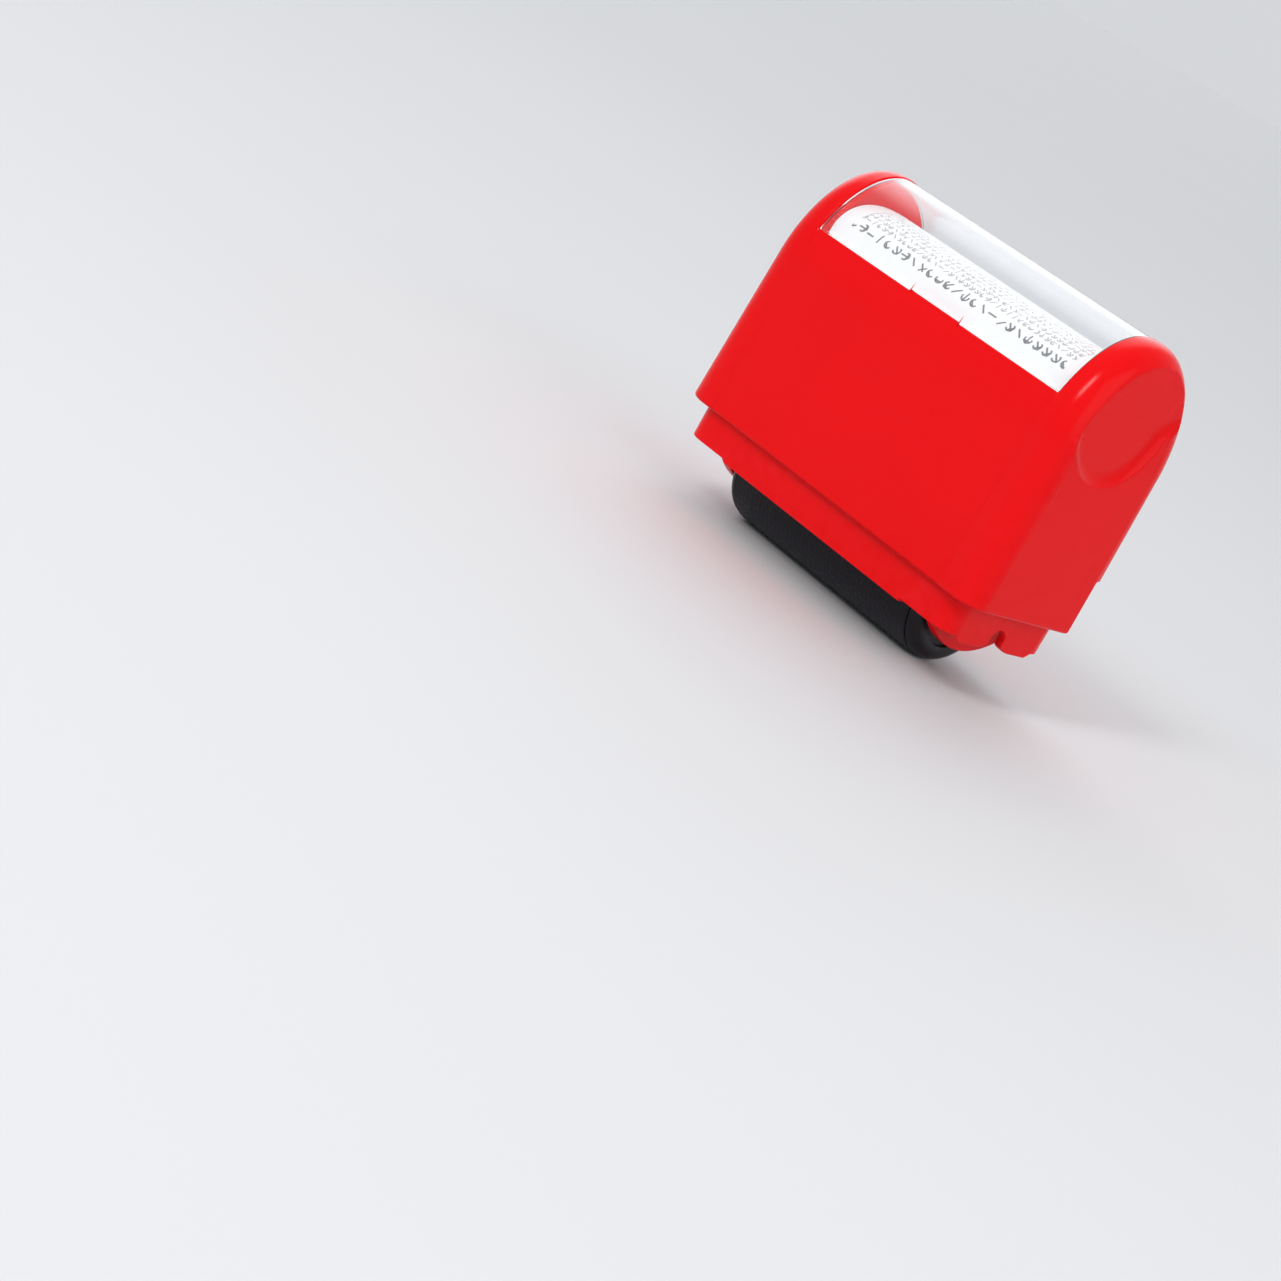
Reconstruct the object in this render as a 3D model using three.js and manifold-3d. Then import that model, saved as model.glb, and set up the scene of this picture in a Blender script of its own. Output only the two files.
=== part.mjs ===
// Privacy roller stamp: a hand-held roller that prints a band of masking marks.
// An arched casing with a clear label window slides over an inner frame. The frame carries the
// printing roller, the ink roller above it and the ink tank that feeds it through a wick.
// Millimetres, +Z up. X runs along the rollers, -Y is the front.
// The origin lies under the middle of the printing roller, on the surface that the roller runs on.

import * as THREE from 'three';
import { mergeVertices } from 'three/addons/utils/BufferGeometryUtils.js';
import Module from 'manifold-3d';

// Clearances
const touchGap = 0.3; // air between two pieces that touch
const overrun = 5; // how far a cutting body reaches past what it cuts

// Printing roller
const dieRadius = 8.6;
const dieLength = 38;
const rubberThickness = 1.9;
const rubberChamfer = 0.3;
const hubShellWall = 1.5;
const hubCoreWall = 1.25;
const hubWebThickness = 4;
const flangeLength = 1.5;
const flangeFall = 1.7; // how far the domed shoulder drops at its outer end
const flangeShy = 0.15; // the flange stays this far inside the rubber's radius
const flangeRim = 1;
const flangeDishDepth = 0.5;
const flangeBossWall = 1.05;
const spigotLength = 3;
const dieAxleRadius = 1.25;
const axleChamfer = 0.25;
const axleTip = 0.3; // land of the axle outside the clip groove

// Bearings and clips
const bushFlange = 0.5;
const bushWall = 0.85;
const bushLip = 1.2;
const clipThickness = 0.4;
const clipWidth = 1.5;
const clipBite = 0.05; // how far the clip reaches below the axle's surface

// Ink roller
const inkRadius = 5.2;
const foamThickness = 2.6;
const inkDiscThickness = 0.8;
const inkDiscShy = 0.4;
const inkAxleRadius = 1;
const inkBushWall = 0.6;
const inkBushLip = 1;

// Frame
const rollerReach = 7.4; // how far the roller stands out below the frame's long walls
const frameShow = 5.4; // height of the frame that shows below the casing
const frameBandLap = 9.7; // height of the frame's full-size band inside the casing
const skirtRoom = 2.3;
const frameWall = 1.3;
const frameEndWall = 1.3;
const frameStep = 0.55; // how far the frame draws in above its band
const frameCornerRadius = 3.2;
const endWallDrop = 0.4; // the end walls reach this far below the long walls
const cornerLift = 0.4; // the corners and the long walls' ends stand this far above the rest
const cornerLength = 10.4;
const footSlope = 1; // width of the slope from an end wall's foot up to the corner
const cheekThickness = 1.7;
const cheekDrop = 4.6; // how far the cheek's curved lower edge reaches below the roller axis
const cheekFlare = 0.95; // how much larger that edge's radius is than half the cheek's depth
const axleRoom = 3.5; // space between a cheek and the end wall outside it
const notchRadius = 1.5;
const notchMouthRadius = 1.2;
const guideStand = 0.9;
const guideWidth = 1.6;
const guideSpacing = 10;
const guideLength = 13;
const frameAboveTankFloor = 1.6;

// Ink tank, lid, felt and wick
const tankRoom = 0.5; // space between the ink roller and the tank
const tankWall = 1.2;
const tankFloor = 1.2;
const tankHeight = 9.6;
const tankSidePlay = 0.25;
const tankFlangeThickness = 1.2;
const tankFlangeShy = 0.45;
const tankCornerRadius = 2;
const wickLength = 36;
const wickThickness = 2.6;
const feltAir = 1;
const lidThickness = 1.2;
const lidRimDepth = 1;
const lidRimWall = 1;
const neckHeight = 1.4;
const neckWall = 1.4;
const plugStemRadius = 2.3;
const plugStemLength = 3.3;
const plugHeadLip = 1.9;
const plugHeadThickness = 1.2;
const plugTabThickness = 1;
const plugTabReach = 1.6;
const plugInset = 11.05; // from the tank's left end to the filler's middle
const plugTravel = 4;

// Casing
const casingWall = 1.15;
const casingEndWall = 1.4;
const casingUpperEndWall = 3.6; // thicker behind the thumb scoops
const sideDraft = 0.5;
const endLean = 1;
const endRadius = 4;
const archRise = 17.4;
const crownRoom = 1.3; // space above the pulled plug
const deckWall = 1.7;
const lensRise = 4.8; // height of the lens's crown over the deck that holds the label
const windowDrop = 11.4; // height of the lens's crown over its lower edges
const endBand = 6.2; // width of the red band beside the window
const lensLedge = 0.7;
const lensThickness = 1.3;
const cardThickness = 0.35;
const cardPlay = 0.2;
const catchWidth = 10;
const catchHeight = 0.35;
const catchThickness = 0.6;
const panelInset = 0.2; // the middle of the long walls lies this far below the end bands
const backCutHeight = 8.4;
const backCutDepth = 3.4;
const ribWidth = 1.4;
const ribSpacing = 32;
const ribHeight = 6.5;

// Thumb scoops in the casing's ends
const scoopRadius = 10.6;
const scoopDrop = 10.5; // scoop centre below the crown
const scoopForward = 3; // scoop centre in front of the middle
const scoopDepth = 0.95; // depth at the scoop's centre
const scoopEdge = 1.7; // rounding between the scoop's floor and its wall
const scoopFlareStart = -0.12; // radians round the scoop where its wall turns out to the back
const scoopFlareLean = 0.62; // radians above level at which the wall then runs

// Facets
const archSteps = 28;
const cornerSteps = 4;
const ringSteps = 40;
const smallRingSteps = 24;
const outlineSteps = 9;
const domeSteps = 5;

// Colours
const bodyRed = 0xd4060c;
const inkBlack = 0x16141a;

// Heights worked out from the stack of rollers, tank and plug
const dieAxisHeight = dieRadius;
const inkAxisHeight = dieAxisHeight + dieRadius + touchGap + inkRadius;
const tankBase = inkAxisHeight + inkRadius + tankRoom;
const tankTop = tankBase + tankHeight;
const frameTop = tankBase + frameAboveTankFloor;
const tankFlangeBase = frameTop + touchGap;
const tankFlangeTop = tankFlangeBase + tankFlangeThickness;
const lidBase = tankTop + touchGap;
const lidTop = lidBase + lidThickness;
const neckTop = lidTop + neckHeight;
const plugHeadBase = neckTop + touchGap;
const plugTop = plugHeadBase + plugHeadThickness;
const cavityCrown = plugTop + plugTravel + crownRoom;
const deckTop = cavityCrown + deckWall;
const casingTop = deckTop + lensRise;
const springHeight = casingTop - archRise;
const sillHeight = casingTop - windowDrop;
const casingBottom = rollerReach + frameShow;
const casingHeight = casingTop - casingBottom;
const wallHeight = springHeight - casingBottom;
const bandTop = casingBottom + frameBandLap;

// Places along X worked out from the printing roller outwards
const flangeInner = dieLength / 2 + touchGap;
const flangeOuter = flangeInner + flangeLength;
const bushInner = flangeOuter + touchGap;
const cheekInner = bushInner + bushFlange + touchGap;
const cheekOuter = cheekInner + cheekThickness;
const clipInner = cheekOuter + touchGap;
const clipOuter = clipInner + clipThickness;
const axleEnd = clipOuter + touchGap + axleTip;
const frameInnerLength = cheekOuter + axleRoom;
const frameHalfLength = frameInnerLength + frameEndWall;
const cavityHalfLength = frameHalfLength + guideStand + touchGap;
const casingHalfLength = cavityHalfLength + casingEndWall;
const windowHalfLength = casingHalfLength - endBand;

// Places along Y worked out from the printing roller outwards
const frameHalfDepth = dieRadius + skirtRoom + frameWall;
const frameUpperHalfDepth = frameHalfDepth - frameStep;
const cavityHalfDepth = frameHalfDepth + touchGap + sideDraft * frameBandLap / wallHeight;
const casingHalfDepth = cavityHalfDepth + casingWall;
const archHalfDepth = casingHalfDepth - sideDraft;
const tankHalfDepth = frameUpperHalfDepth - frameWall - tankSidePlay - touchGap;
const tankHalfLength = cheekInner - tankSidePlay - touchGap;
const plugPlace = plugInset - tankHalfLength;

// Radii worked out from the axles outwards
const hubRadius = dieRadius - rubberThickness - touchGap;
const hubBore = dieAxleRadius + touchGap;
const bushBore = dieAxleRadius + touchGap;
const bushRadius = bushBore + bushWall;
const inkBore = inkAxleRadius + touchGap;
const inkBushRadius = inkBore + inkBushWall;
const inkCoreRadius = inkRadius - foamThickness - touchGap;
const plugBore = plugStemRadius + touchGap;

const wasm = await Module();
wasm.setup();

// Turns a closed three.js geometry into a solid that can be cut and joined.
function toSolid(geometry) {
  const bare = geometry.index ? geometry.toNonIndexed() : geometry.clone();
  bare.deleteAttribute('normal');
  bare.deleteAttribute('uv');
  const merged = mergeVertices(bare, 1e-4);
  return new wasm.Manifold(new wasm.Mesh({
    numProp: 3,
    vertProperties: new Float32Array(merged.attributes.position.array),
    triVerts: new Uint32Array(merged.index.array),
  }));
}

// Turns a solid back into a three.js geometry.
function toGeometry(solid) {
  const mesh = solid.getMesh();
  const geometry = new THREE.BufferGeometry();
  geometry.setAttribute('position', new THREE.BufferAttribute(mesh.vertProperties, 3));
  geometry.setIndex(new THREE.BufferAttribute(mesh.triVerts, 1));
  geometry.computeVertexNormals();
  return geometry;
}

// A box between two corners.
function block(low, high) {
  const size = high.map((value, axis) => value - low[axis]);
  const geometry = new THREE.BoxGeometry(...size);
  geometry.translate(...low.map((value, axis) => value + size[axis] / 2));
  return toSolid(geometry);
}

// A box that is symmetrical about X = 0 and Y = 0.
function centredBlock(halfLength, halfDepth, base, top) {
  return block([-halfLength, -halfDepth, base], [halfLength, halfDepth, top]);
}

// Extrudes an outline drawn in (Y, Z) along X, from one X to another.
function alongX(shape, from, to) {
  const geometry = new THREE.ExtrudeGeometry(shape, {
    depth: to - from,
    bevelEnabled: false,
    curveSegments: outlineSteps,
  });
  geometry.translate(0, 0, from);
  geometry.applyMatrix4(lengthwise);
  return toSolid(geometry);
}

// Extrudes an outline drawn in (X, Y) upwards, from one height to another.
function upwards(shape, base, top) {
  const geometry = new THREE.ExtrudeGeometry(shape, {
    depth: top - base,
    bevelEnabled: false,
    curveSegments: cornerSteps,
  });
  geometry.translate(0, 0, base);
  return toSolid(geometry);
}

const lengthwise = new THREE.Matrix4().makeBasis(
  new THREE.Vector3(0, 1, 0),
  new THREE.Vector3(0, 0, 1),
  new THREE.Vector3(1, 0, 0),
);

function roundedRectangle(halfLength, halfDepth, radius) {
  const shape = new THREE.Shape();
  shape.moveTo(halfLength - radius, -halfDepth);
  shape.absarc(halfLength - radius, radius - halfDepth, radius, -Math.PI / 2, 0, false);
  shape.absarc(halfLength - radius, halfDepth - radius, radius, 0, Math.PI / 2, false);
  shape.absarc(radius - halfLength, halfDepth - radius, radius, Math.PI / 2, Math.PI, false);
  shape.absarc(radius - halfLength, radius - halfDepth, radius, Math.PI, 1.5 * Math.PI, false);
  shape.closePath();
  return shape;
}

// The casing's arched section in (Y, Z): walls that draw in with height under a half ellipse.
// It starts below the base, so that a flat cut leaves a sharp lower edge.
function archOutline({ halfDepth, halfTop, base, spring, rise, spare }) {
  const slope = (halfDepth - halfTop) / (spring - base);
  const foot = halfDepth + slope * spare;
  const shape = new THREE.Shape();
  shape.moveTo(-foot, base - spare);
  shape.lineTo(foot, base - spare);
  for (let step = 0; step <= archSteps; step += 1) {
    const angle = Math.PI * step / archSteps;
    shape.lineTo(halfTop * Math.cos(angle), spring + rise * Math.sin(angle));
  }
  shape.closePath();
  return shape;
}

// An arched body along X whose ends are rounded by a radius and lean inwards with height.
function archBody({ halfLength, radius, lean = 0, ...section }) {
  const geometry = new THREE.ExtrudeGeometry(archOutline({ ...section, spare: radius + overrun }), {
    depth: 2 * (halfLength - radius),
    bevelEnabled: true,
    bevelThickness: radius,
    bevelSize: radius,
    bevelOffset: -radius,
    bevelSegments: cornerSteps,
  });
  geometry.translate(0, 0, radius - halfLength);
  geometry.applyMatrix4(lengthwise);
  const place = geometry.attributes.position;
  const height = section.spring + section.rise - section.base;
  for (let index = 0; index < place.count; index += 1) {
    const drawIn = lean * (place.getZ(index) - section.base) / height;
    place.setX(index, place.getX(index) - Math.sign(place.getX(index)) * drawIn);
  }
  return toSolid(geometry);
}

// Half the depth of an arched section at a height above its spring line.
function archHalfAt(halfTop, rise, spring, height) {
  return halfTop * Math.sqrt(1 - ((height - spring) / rise) ** 2);
}

// A body turned about the roller axis. Its profile lists [radius, place along the axis].
function turned(profile, steps = ringSteps) {
  const points = profile.map(([radius, place]) => new THREE.Vector2(radius, place));
  points.push(points[0].clone());
  return new THREE.LatheGeometry(points, steps);
}

// Casing: arched shell with a pocket for label and lens, scoops, ribs and a cut-out at the back
const outerArch = {
  halfDepth: casingHalfDepth,
  halfTop: archHalfDepth,
  base: casingBottom,
  spring: springHeight,
  rise: archRise,
};

function insetArch(inset) {
  return {
    ...outerArch,
    halfDepth: casingHalfDepth - inset,
    halfTop: archHalfDepth - inset,
    rise: archRise - inset,
  };
}

const lensInnerAtSill = archHalfAt(
  archHalfDepth - lensThickness,
  archRise - lensThickness,
  springHeight,
  sillHeight + touchGap,
);
const deckHalfDepth = lensInnerAtSill - cardThickness - 2 * touchGap;
const deckRise = deckTop - sillHeight;

// The arched deck under the label, or a layer that lies a little above it.
function deckBody(halfLength, lift) {
  const shape = new THREE.Shape();
  shape.moveTo(-deckHalfDepth - lift, sillHeight - overrun);
  shape.lineTo(deckHalfDepth + lift, sillHeight - overrun);
  for (let step = 0; step <= archSteps; step += 1) {
    const angle = Math.PI * step / archSteps;
    const across = (deckHalfDepth + lift) * Math.cos(angle);
    shape.lineTo(across, sillHeight + (deckRise + lift) * Math.sin(angle));
  }
  shape.closePath();
  return alongX(shape, -halfLength, halfLength);
}

// The outline of a thumb scoop in (Y, Z): round below, open at the front and above, and running
// out to the back edge at a slant.
function scoopOutline() {
  const turnY = scoopRadius * Math.cos(scoopFlareStart);
  const turnZ = scoopRadius * Math.sin(scoopFlareStart);
  const shape = new THREE.Shape();
  shape.moveTo(-scoopRadius, casingHeight);
  shape.absarc(0, 0, scoopRadius, Math.PI, 2 * Math.PI + scoopFlareStart, false);
  shape.lineTo(turnY + casingHalfDepth * Math.cos(scoopFlareLean), turnZ + casingHalfDepth * Math.sin(scoopFlareLean));
  shape.lineTo(turnY + casingHalfDepth * Math.cos(scoopFlareLean), casingHeight);
  shape.closePath();
  return shape;
}

// The cutter for one scoop. Both of its ends are rounded alike, so it serves either end.
function scoopCutter(side) {
  const geometry = new THREE.ExtrudeGeometry(scoopOutline(), {
    depth: overrun,
    bevelEnabled: true,
    bevelThickness: scoopEdge,
    bevelSize: scoopEdge,
    bevelOffset: -scoopEdge,
    bevelSegments: cornerSteps,
    curveSegments: outlineSteps,
  });
  geometry.translate(0, 0, scoopEdge);
  geometry.applyMatrix4(lengthwise);
  const height = casingTop - scoopDrop;
  const floor = casingHalfLength - endLean * (height - casingBottom) / casingHeight - scoopDepth;
  const start = side > 0 ? floor : -floor - overrun - 2 * scoopEdge;
  geometry.translate(start, -scoopForward, height);
  return toSolid(geometry);
}

function casingSolid() {
  const high = casingTop + overrun;
  const wide = casingHalfDepth + overrun;
  const long = casingHalfLength + overrun;
  let body = archBody({ ...outerArch, halfLength: casingHalfLength, radius: endRadius, lean: endLean });

  const panel = centredBlock(windowHalfLength, wide, casingBottom - overrun, sillHeight)
    .subtract(archBody({ ...insetArch(panelInset), halfLength: casingHalfLength, radius: panelInset }));
  body = body.subtract(panel);

  const seat = centredBlock(windowHalfLength, wide, sillHeight, high)
    .subtract(archBody({
      ...insetArch(lensThickness + touchGap),
      halfLength: casingHalfLength,
      radius: panelInset,
    }));
  const labelRoom = centredBlock(windowHalfLength - lensLedge, wide, sillHeight, high)
    .subtract(deckBody(casingHalfLength, 0));
  const catchFace = archHalfAt(archHalfDepth, archRise, springHeight, sillHeight);
  const lug = block(
    [-catchWidth / 2, panelInset - catchFace, sillHeight - catchHeight],
    [catchWidth / 2, panelInset + catchThickness - catchFace, sillHeight + touchGap + catchHeight],
  );
  body = body.subtract(seat).subtract(labelRoom).add(lug);

  const cavity = {
    halfDepth: cavityHalfDepth,
    halfTop: cavityHalfDepth - sideDraft,
    base: casingBottom,
    spring: springHeight - deckWall,
    rise: cavityCrown - springHeight + deckWall,
  };
  const innerRadius = endRadius - casingWall;
  const lowerCavity = archBody({ ...cavity, halfLength: cavityHalfLength, radius: innerRadius })
    .intersect(centredBlock(long, wide, casingBottom - overrun, tankFlangeTop + touchGap));
  const upperCavity = archBody({
    ...cavity,
    halfLength: casingHalfLength - casingUpperEndWall,
    radius: innerRadius,
  });
  body = body.subtract(lowerCavity).subtract(upperCavity);

  const ribBase = tankFlangeTop + touchGap;
  for (const side of [-1, 1]) {
    for (const end of [-1, 1]) {
      const middle = end * ribSpacing / 2;
      const near = side * (tankHalfDepth + touchGap);
      const far = side * (cavityHalfDepth + casingWall / 2 - sideDraft);
      body = body.add(block(
        [middle - ribWidth / 2, Math.min(near, far), ribBase],
        [middle + ribWidth / 2, Math.max(near, far), ribBase + ribHeight],
      ));
    }
    body = body.subtract(scoopCutter(side));
  }

  const backCut = block(
    [-long, casingHalfDepth - backCutDepth, casingBottom - overrun],
    [long, wide, casingBottom + backCutHeight],
  );
  const below = centredBlock(long, wide, casingBottom - endRadius - 2 * overrun, casingBottom);
  return body.subtract(backCut).subtract(below);
}

// Lens: clear arched shell, relieved where the casing's catch holds it
function lensSolid() {
  const half = windowHalfLength - touchGap;
  const shell = archBody({ ...outerArch, halfLength: half + endRadius, radius: panelInset })
    .subtract(archBody({
      ...insetArch(lensThickness),
      halfLength: casingHalfLength + overrun,
      radius: panelInset,
    }))
    .intersect(centredBlock(half, casingHalfDepth, sillHeight + touchGap, casingTop));
  const catchFace = archHalfAt(archHalfDepth, archRise, springHeight, sillHeight);
  const relief = block(
    [-catchWidth / 2 - touchGap, -catchFace - overrun, sillHeight],
    [
      catchWidth / 2 + touchGap,
      panelInset + catchThickness + touchGap - catchFace,
      sillHeight + catchHeight + 2 * touchGap,
    ],
  );
  return shell.subtract(relief);
}

// Label card: thin curved sheet lying on the deck
function cardSolid() {
  const half = windowHalfLength - lensLedge - cardPlay - touchGap;
  const room = centredBlock(half, casingHalfDepth, sillHeight + touchGap, casingTop);
  return deckBody(half, touchGap + cardThickness)
    .subtract(deckBody(half + overrun, touchGap))
    .intersect(room);
}

// Frame: open box with two inner cheeks that carry both axles, and a notch in each end wall.
// A cheek in (Y, Z): a curved lower edge below the lower axle, and a slot for the upper axle.
function cheekOutline() {
  const inner = frameHalfDepth - frameWall / 2;
  const upper = frameUpperHalfDepth - frameWall / 2;
  const slotHalf = inkBushRadius + touchGap;
  const radius = inner + cheekFlare;
  const middle = dieAxisHeight - cheekDrop + radius;
  const reach = Math.asin(inner / radius);
  const down = -Math.PI / 2;
  const shape = new THREE.Shape();
  shape.absarc(0, middle, radius, down - reach, down + reach, false);
  shape.lineTo(inner, bandTop);
  shape.lineTo(upper, bandTop);
  shape.lineTo(upper, frameTop);
  shape.lineTo(slotHalf, frameTop);
  shape.lineTo(slotHalf, inkAxisHeight);
  shape.absarc(0, inkAxisHeight, slotHalf, 0, Math.PI, true);
  shape.lineTo(-slotHalf, frameTop);
  shape.lineTo(-upper, frameTop);
  shape.lineTo(-upper, bandTop);
  shape.lineTo(-inner, bandTop);
  shape.closePath();
  const hole = new THREE.Path();
  hole.absarc(0, dieAxisHeight, bushRadius + touchGap, 0, 2 * Math.PI, false);
  shape.holes.push(hole);
  return shape;
}

// The slot in an end wall: round at the axle, with rounded corners at its open mouth.
function notchOutline() {
  const foot = rollerReach - endWallDrop;
  const mouth = notchRadius + notchMouthRadius;
  const shape = new THREE.Shape();
  shape.moveTo(-mouth, foot - overrun);
  shape.lineTo(mouth, foot - overrun);
  shape.lineTo(mouth, foot);
  shape.absarc(mouth, foot + notchMouthRadius, notchMouthRadius, -Math.PI / 2, -Math.PI, true);
  shape.lineTo(notchRadius, dieAxisHeight);
  shape.absarc(0, dieAxisHeight, notchRadius, 0, Math.PI, false);
  shape.lineTo(-notchRadius, foot + notchMouthRadius);
  shape.absarc(-mouth, foot + notchMouthRadius, notchMouthRadius, 0, -Math.PI / 2, true);
  shape.closePath();
  return shape;
}

// What is cut away below two corners of the frame, in (Y, Z), on the front (-1) or the back (1).
function cornerCutOutline(side) {
  const foot = rollerReach - endWallDrop;
  const raised = rollerReach + cornerLift;
  const start = frameHalfDepth - frameCornerRadius;
  const shape = new THREE.Shape();
  shape.moveTo(side * (start - footSlope), foot - overrun);
  shape.lineTo(side * (frameHalfDepth + overrun), foot - overrun);
  shape.lineTo(side * (frameHalfDepth + overrun), raised);
  shape.lineTo(side * start, raised);
  shape.lineTo(side * (start - footSlope), foot);
  shape.closePath();
  return shape;
}

function frameSolid() {
  const foot = rollerReach - endWallDrop;
  const innerCorner = frameCornerRadius - frameWall;
  const upperLength = frameHalfLength - frameStep;
  const outer = upwards(roundedRectangle(frameHalfLength, frameHalfDepth, frameCornerRadius), foot, bandTop)
    .add(upwards(
      roundedRectangle(upperLength, frameUpperHalfDepth, frameCornerRadius),
      bandTop - frameWall,
      frameTop,
    ));
  const inner = upwards(
    roundedRectangle(frameInnerLength, frameHalfDepth - frameWall, innerCorner),
    foot - overrun,
    bandTop - frameWall,
  ).add(upwards(
    roundedRectangle(upperLength - frameEndWall, frameUpperHalfDepth - frameWall, innerCorner),
    bandTop - 2 * frameWall,
    frameTop + overrun,
  ));
  const longWallFoot = centredBlock(
    frameHalfLength - frameCornerRadius,
    frameHalfDepth + overrun,
    foot - overrun,
    rollerReach,
  );
  let body = outer.subtract(inner).subtract(longWallFoot);
  for (const side of [-1, 1]) {
    const cornerStart = side * (frameHalfLength - cornerLength);
    const cornerEnd = side * (frameHalfLength + overrun);
    for (const row of [-1, 1]) {
      body = body.subtract(alongX(
        cornerCutOutline(row),
        Math.min(cornerStart, cornerEnd),
        Math.max(cornerStart, cornerEnd),
      ));
    }
    const near = Math.min(side * cheekInner, side * cheekOuter);
    const far = Math.max(side * cheekInner, side * cheekOuter);
    body = body.add(alongX(cheekOutline(), near, far));
    body = body.subtract(alongX(
      notchOutline(),
      Math.min(side * (frameInnerLength - axleRoom / 2), side * (frameHalfLength + overrun)),
      Math.max(side * (frameInnerLength - axleRoom / 2), side * (frameHalfLength + overrun)),
    ));
    for (const row of [-1, 1]) {
      const middle = row * guideSpacing / 2;
      const start = side * (frameHalfLength - frameStep - frameEndWall / 2);
      const stop = side * (frameHalfLength + guideStand);
      body = body.add(block(
        [Math.min(start, stop), middle - guideWidth / 2, frameTop - guideLength],
        [Math.max(start, stop), middle + guideWidth / 2, frameTop - touchGap],
      ));
    }
  }
  return body;
}

// Tank: open box with a wide flange, a wick slot in its floor and tongues that hold the ink roller down
function tankSolid() {
  const flange = upwards(
    roundedRectangle(
      frameHalfLength - frameStep - tankFlangeShy,
      frameUpperHalfDepth - tankFlangeShy,
      frameCornerRadius,
    ),
    tankFlangeBase,
    tankFlangeTop,
  );
  const box = upwards(roundedRectangle(tankHalfLength, tankHalfDepth, tankCornerRadius), tankBase, tankTop);
  const room = upwards(
    roundedRectangle(tankHalfLength - tankWall, tankHalfDepth - tankWall, tankCornerRadius - tankWall / 2),
    tankBase + tankFloor,
    tankTop + overrun,
  );
  const slot = centredBlock(
    wickLength / 2 + touchGap,
    wickThickness / 2 + touchGap,
    tankBase - overrun,
    tankTop,
  );
  let body = flange.add(box);
  for (const side of [-1, 1]) {
    const near = Math.min(side * cheekInner, side * cheekOuter);
    const far = Math.max(side * cheekInner, side * cheekOuter);
    body = body.add(block(
      [near, -inkBushRadius, inkAxisHeight + inkBushRadius + touchGap],
      [far, inkBushRadius, tankFlangeTop],
    ));
  }
  return body.subtract(room).subtract(slot);
}

function lidSolid() {
  const rimLength = tankHalfLength - tankWall - touchGap;
  const rimDepth = tankHalfDepth - tankWall - touchGap;
  const rimCorner = tankCornerRadius - tankWall / 2;
  const rim = upwards(roundedRectangle(rimLength, rimDepth, rimCorner), lidBase - lidRimDepth, lidBase + lidThickness / 2)
    .subtract(upwards(
      roundedRectangle(rimLength - lidRimWall, rimDepth - lidRimWall, rimCorner / 2),
      lidBase - lidRimDepth - overrun,
      lidBase,
    ));
  const plate = upwards(roundedRectangle(tankHalfLength, tankHalfDepth, tankCornerRadius), lidBase, lidTop);
  const neck = new THREE.CylinderGeometry(plugBore + neckWall, plugBore + neckWall, neckTop - lidBase, ringSteps);
  neck.rotateX(Math.PI / 2);
  neck.translate(plugPlace, 0, (lidBase + neckTop) / 2);
  const bore = new THREE.CylinderGeometry(plugBore, plugBore, casingHeight, smallRingSteps);
  bore.rotateX(Math.PI / 2);
  bore.translate(plugPlace, 0, lidBase);
  return plate.add(rim).add(toSolid(neck)).subtract(toSolid(bore));
}

// Refill plug: stem and head turned about Z, with a finger tab that the head carries
function plugSolid() {
  const head = plugStemRadius + plugHeadLip;
  const profile = [
    [0, plugHeadBase - plugStemLength],
    [plugStemRadius - axleChamfer, plugHeadBase - plugStemLength],
    [plugStemRadius, plugHeadBase - plugStemLength + axleChamfer],
    [plugStemRadius, plugHeadBase],
    [head, plugHeadBase],
    [head, plugTop - axleChamfer],
    [head - axleChamfer, plugTop],
    [0, plugTop],
  ];
  const stopper = new THREE.LatheGeometry(profile.map(([x, y]) => new THREE.Vector2(x, y)), ringSteps);
  stopper.rotateX(Math.PI / 2);
  const tab = block(
    [-head - plugTabReach, -plugStemRadius, plugHeadBase],
    [0, plugStemRadius, plugHeadBase + plugTabThickness],
  );
  return toSolid(stopper).add(tab);
}

// Turned profiles of the printing roller
function hubProfile() {
  const end = dieLength / 2;
  const web = hubWebThickness / 2;
  const core = hubBore + hubCoreWall;
  const shell = hubRadius - hubShellWall;
  return [
    [hubBore, -end], [core, -end], [core, -web], [shell, -web], [shell, -end], [hubRadius, -end],
    [hubRadius, end], [shell, end], [shell, web], [core, web], [core, end], [hubBore, end],
  ];
}

function rubberProfile() {
  const end = dieLength / 2;
  const inner = dieRadius - rubberThickness;
  return [
    [inner, -end], [dieRadius - rubberChamfer, -end], [dieRadius, rubberChamfer - end],
    [dieRadius, end - rubberChamfer], [dieRadius - rubberChamfer, end], [inner, end],
  ];
}

// One end flange, drawn for the +X end: a spigot that enters the hub and a domed shoulder.
function flangeProfile() {
  const outer = dieRadius - flangeShy;
  const spigotInner = hubBore + hubCoreWall + touchGap;
  const spigotOuter = hubRadius - hubShellWall - touchGap;
  const dishOuter = outer - flangeFall - flangeRim;
  const boss = hubBore + flangeBossWall;
  const profile = [
    [hubBore, flangeInner],
    [spigotInner, flangeInner],
    [spigotInner, flangeInner - spigotLength],
    [spigotOuter, flangeInner - spigotLength],
    [spigotOuter, flangeInner],
  ];
  for (let step = 0; step <= domeSteps; step += 1) {
    const angle = Math.PI / 2 * step / domeSteps;
    profile.push([outer - flangeFall * (1 - Math.cos(angle)), flangeInner + flangeLength * Math.sin(angle)]);
  }
  profile.push(
    [dishOuter, flangeOuter],
    [dishOuter, flangeOuter - flangeDishDepth],
    [boss, flangeOuter - flangeDishDepth],
    [boss, flangeOuter],
    [hubBore, flangeOuter],
  );
  return profile;
}

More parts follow.
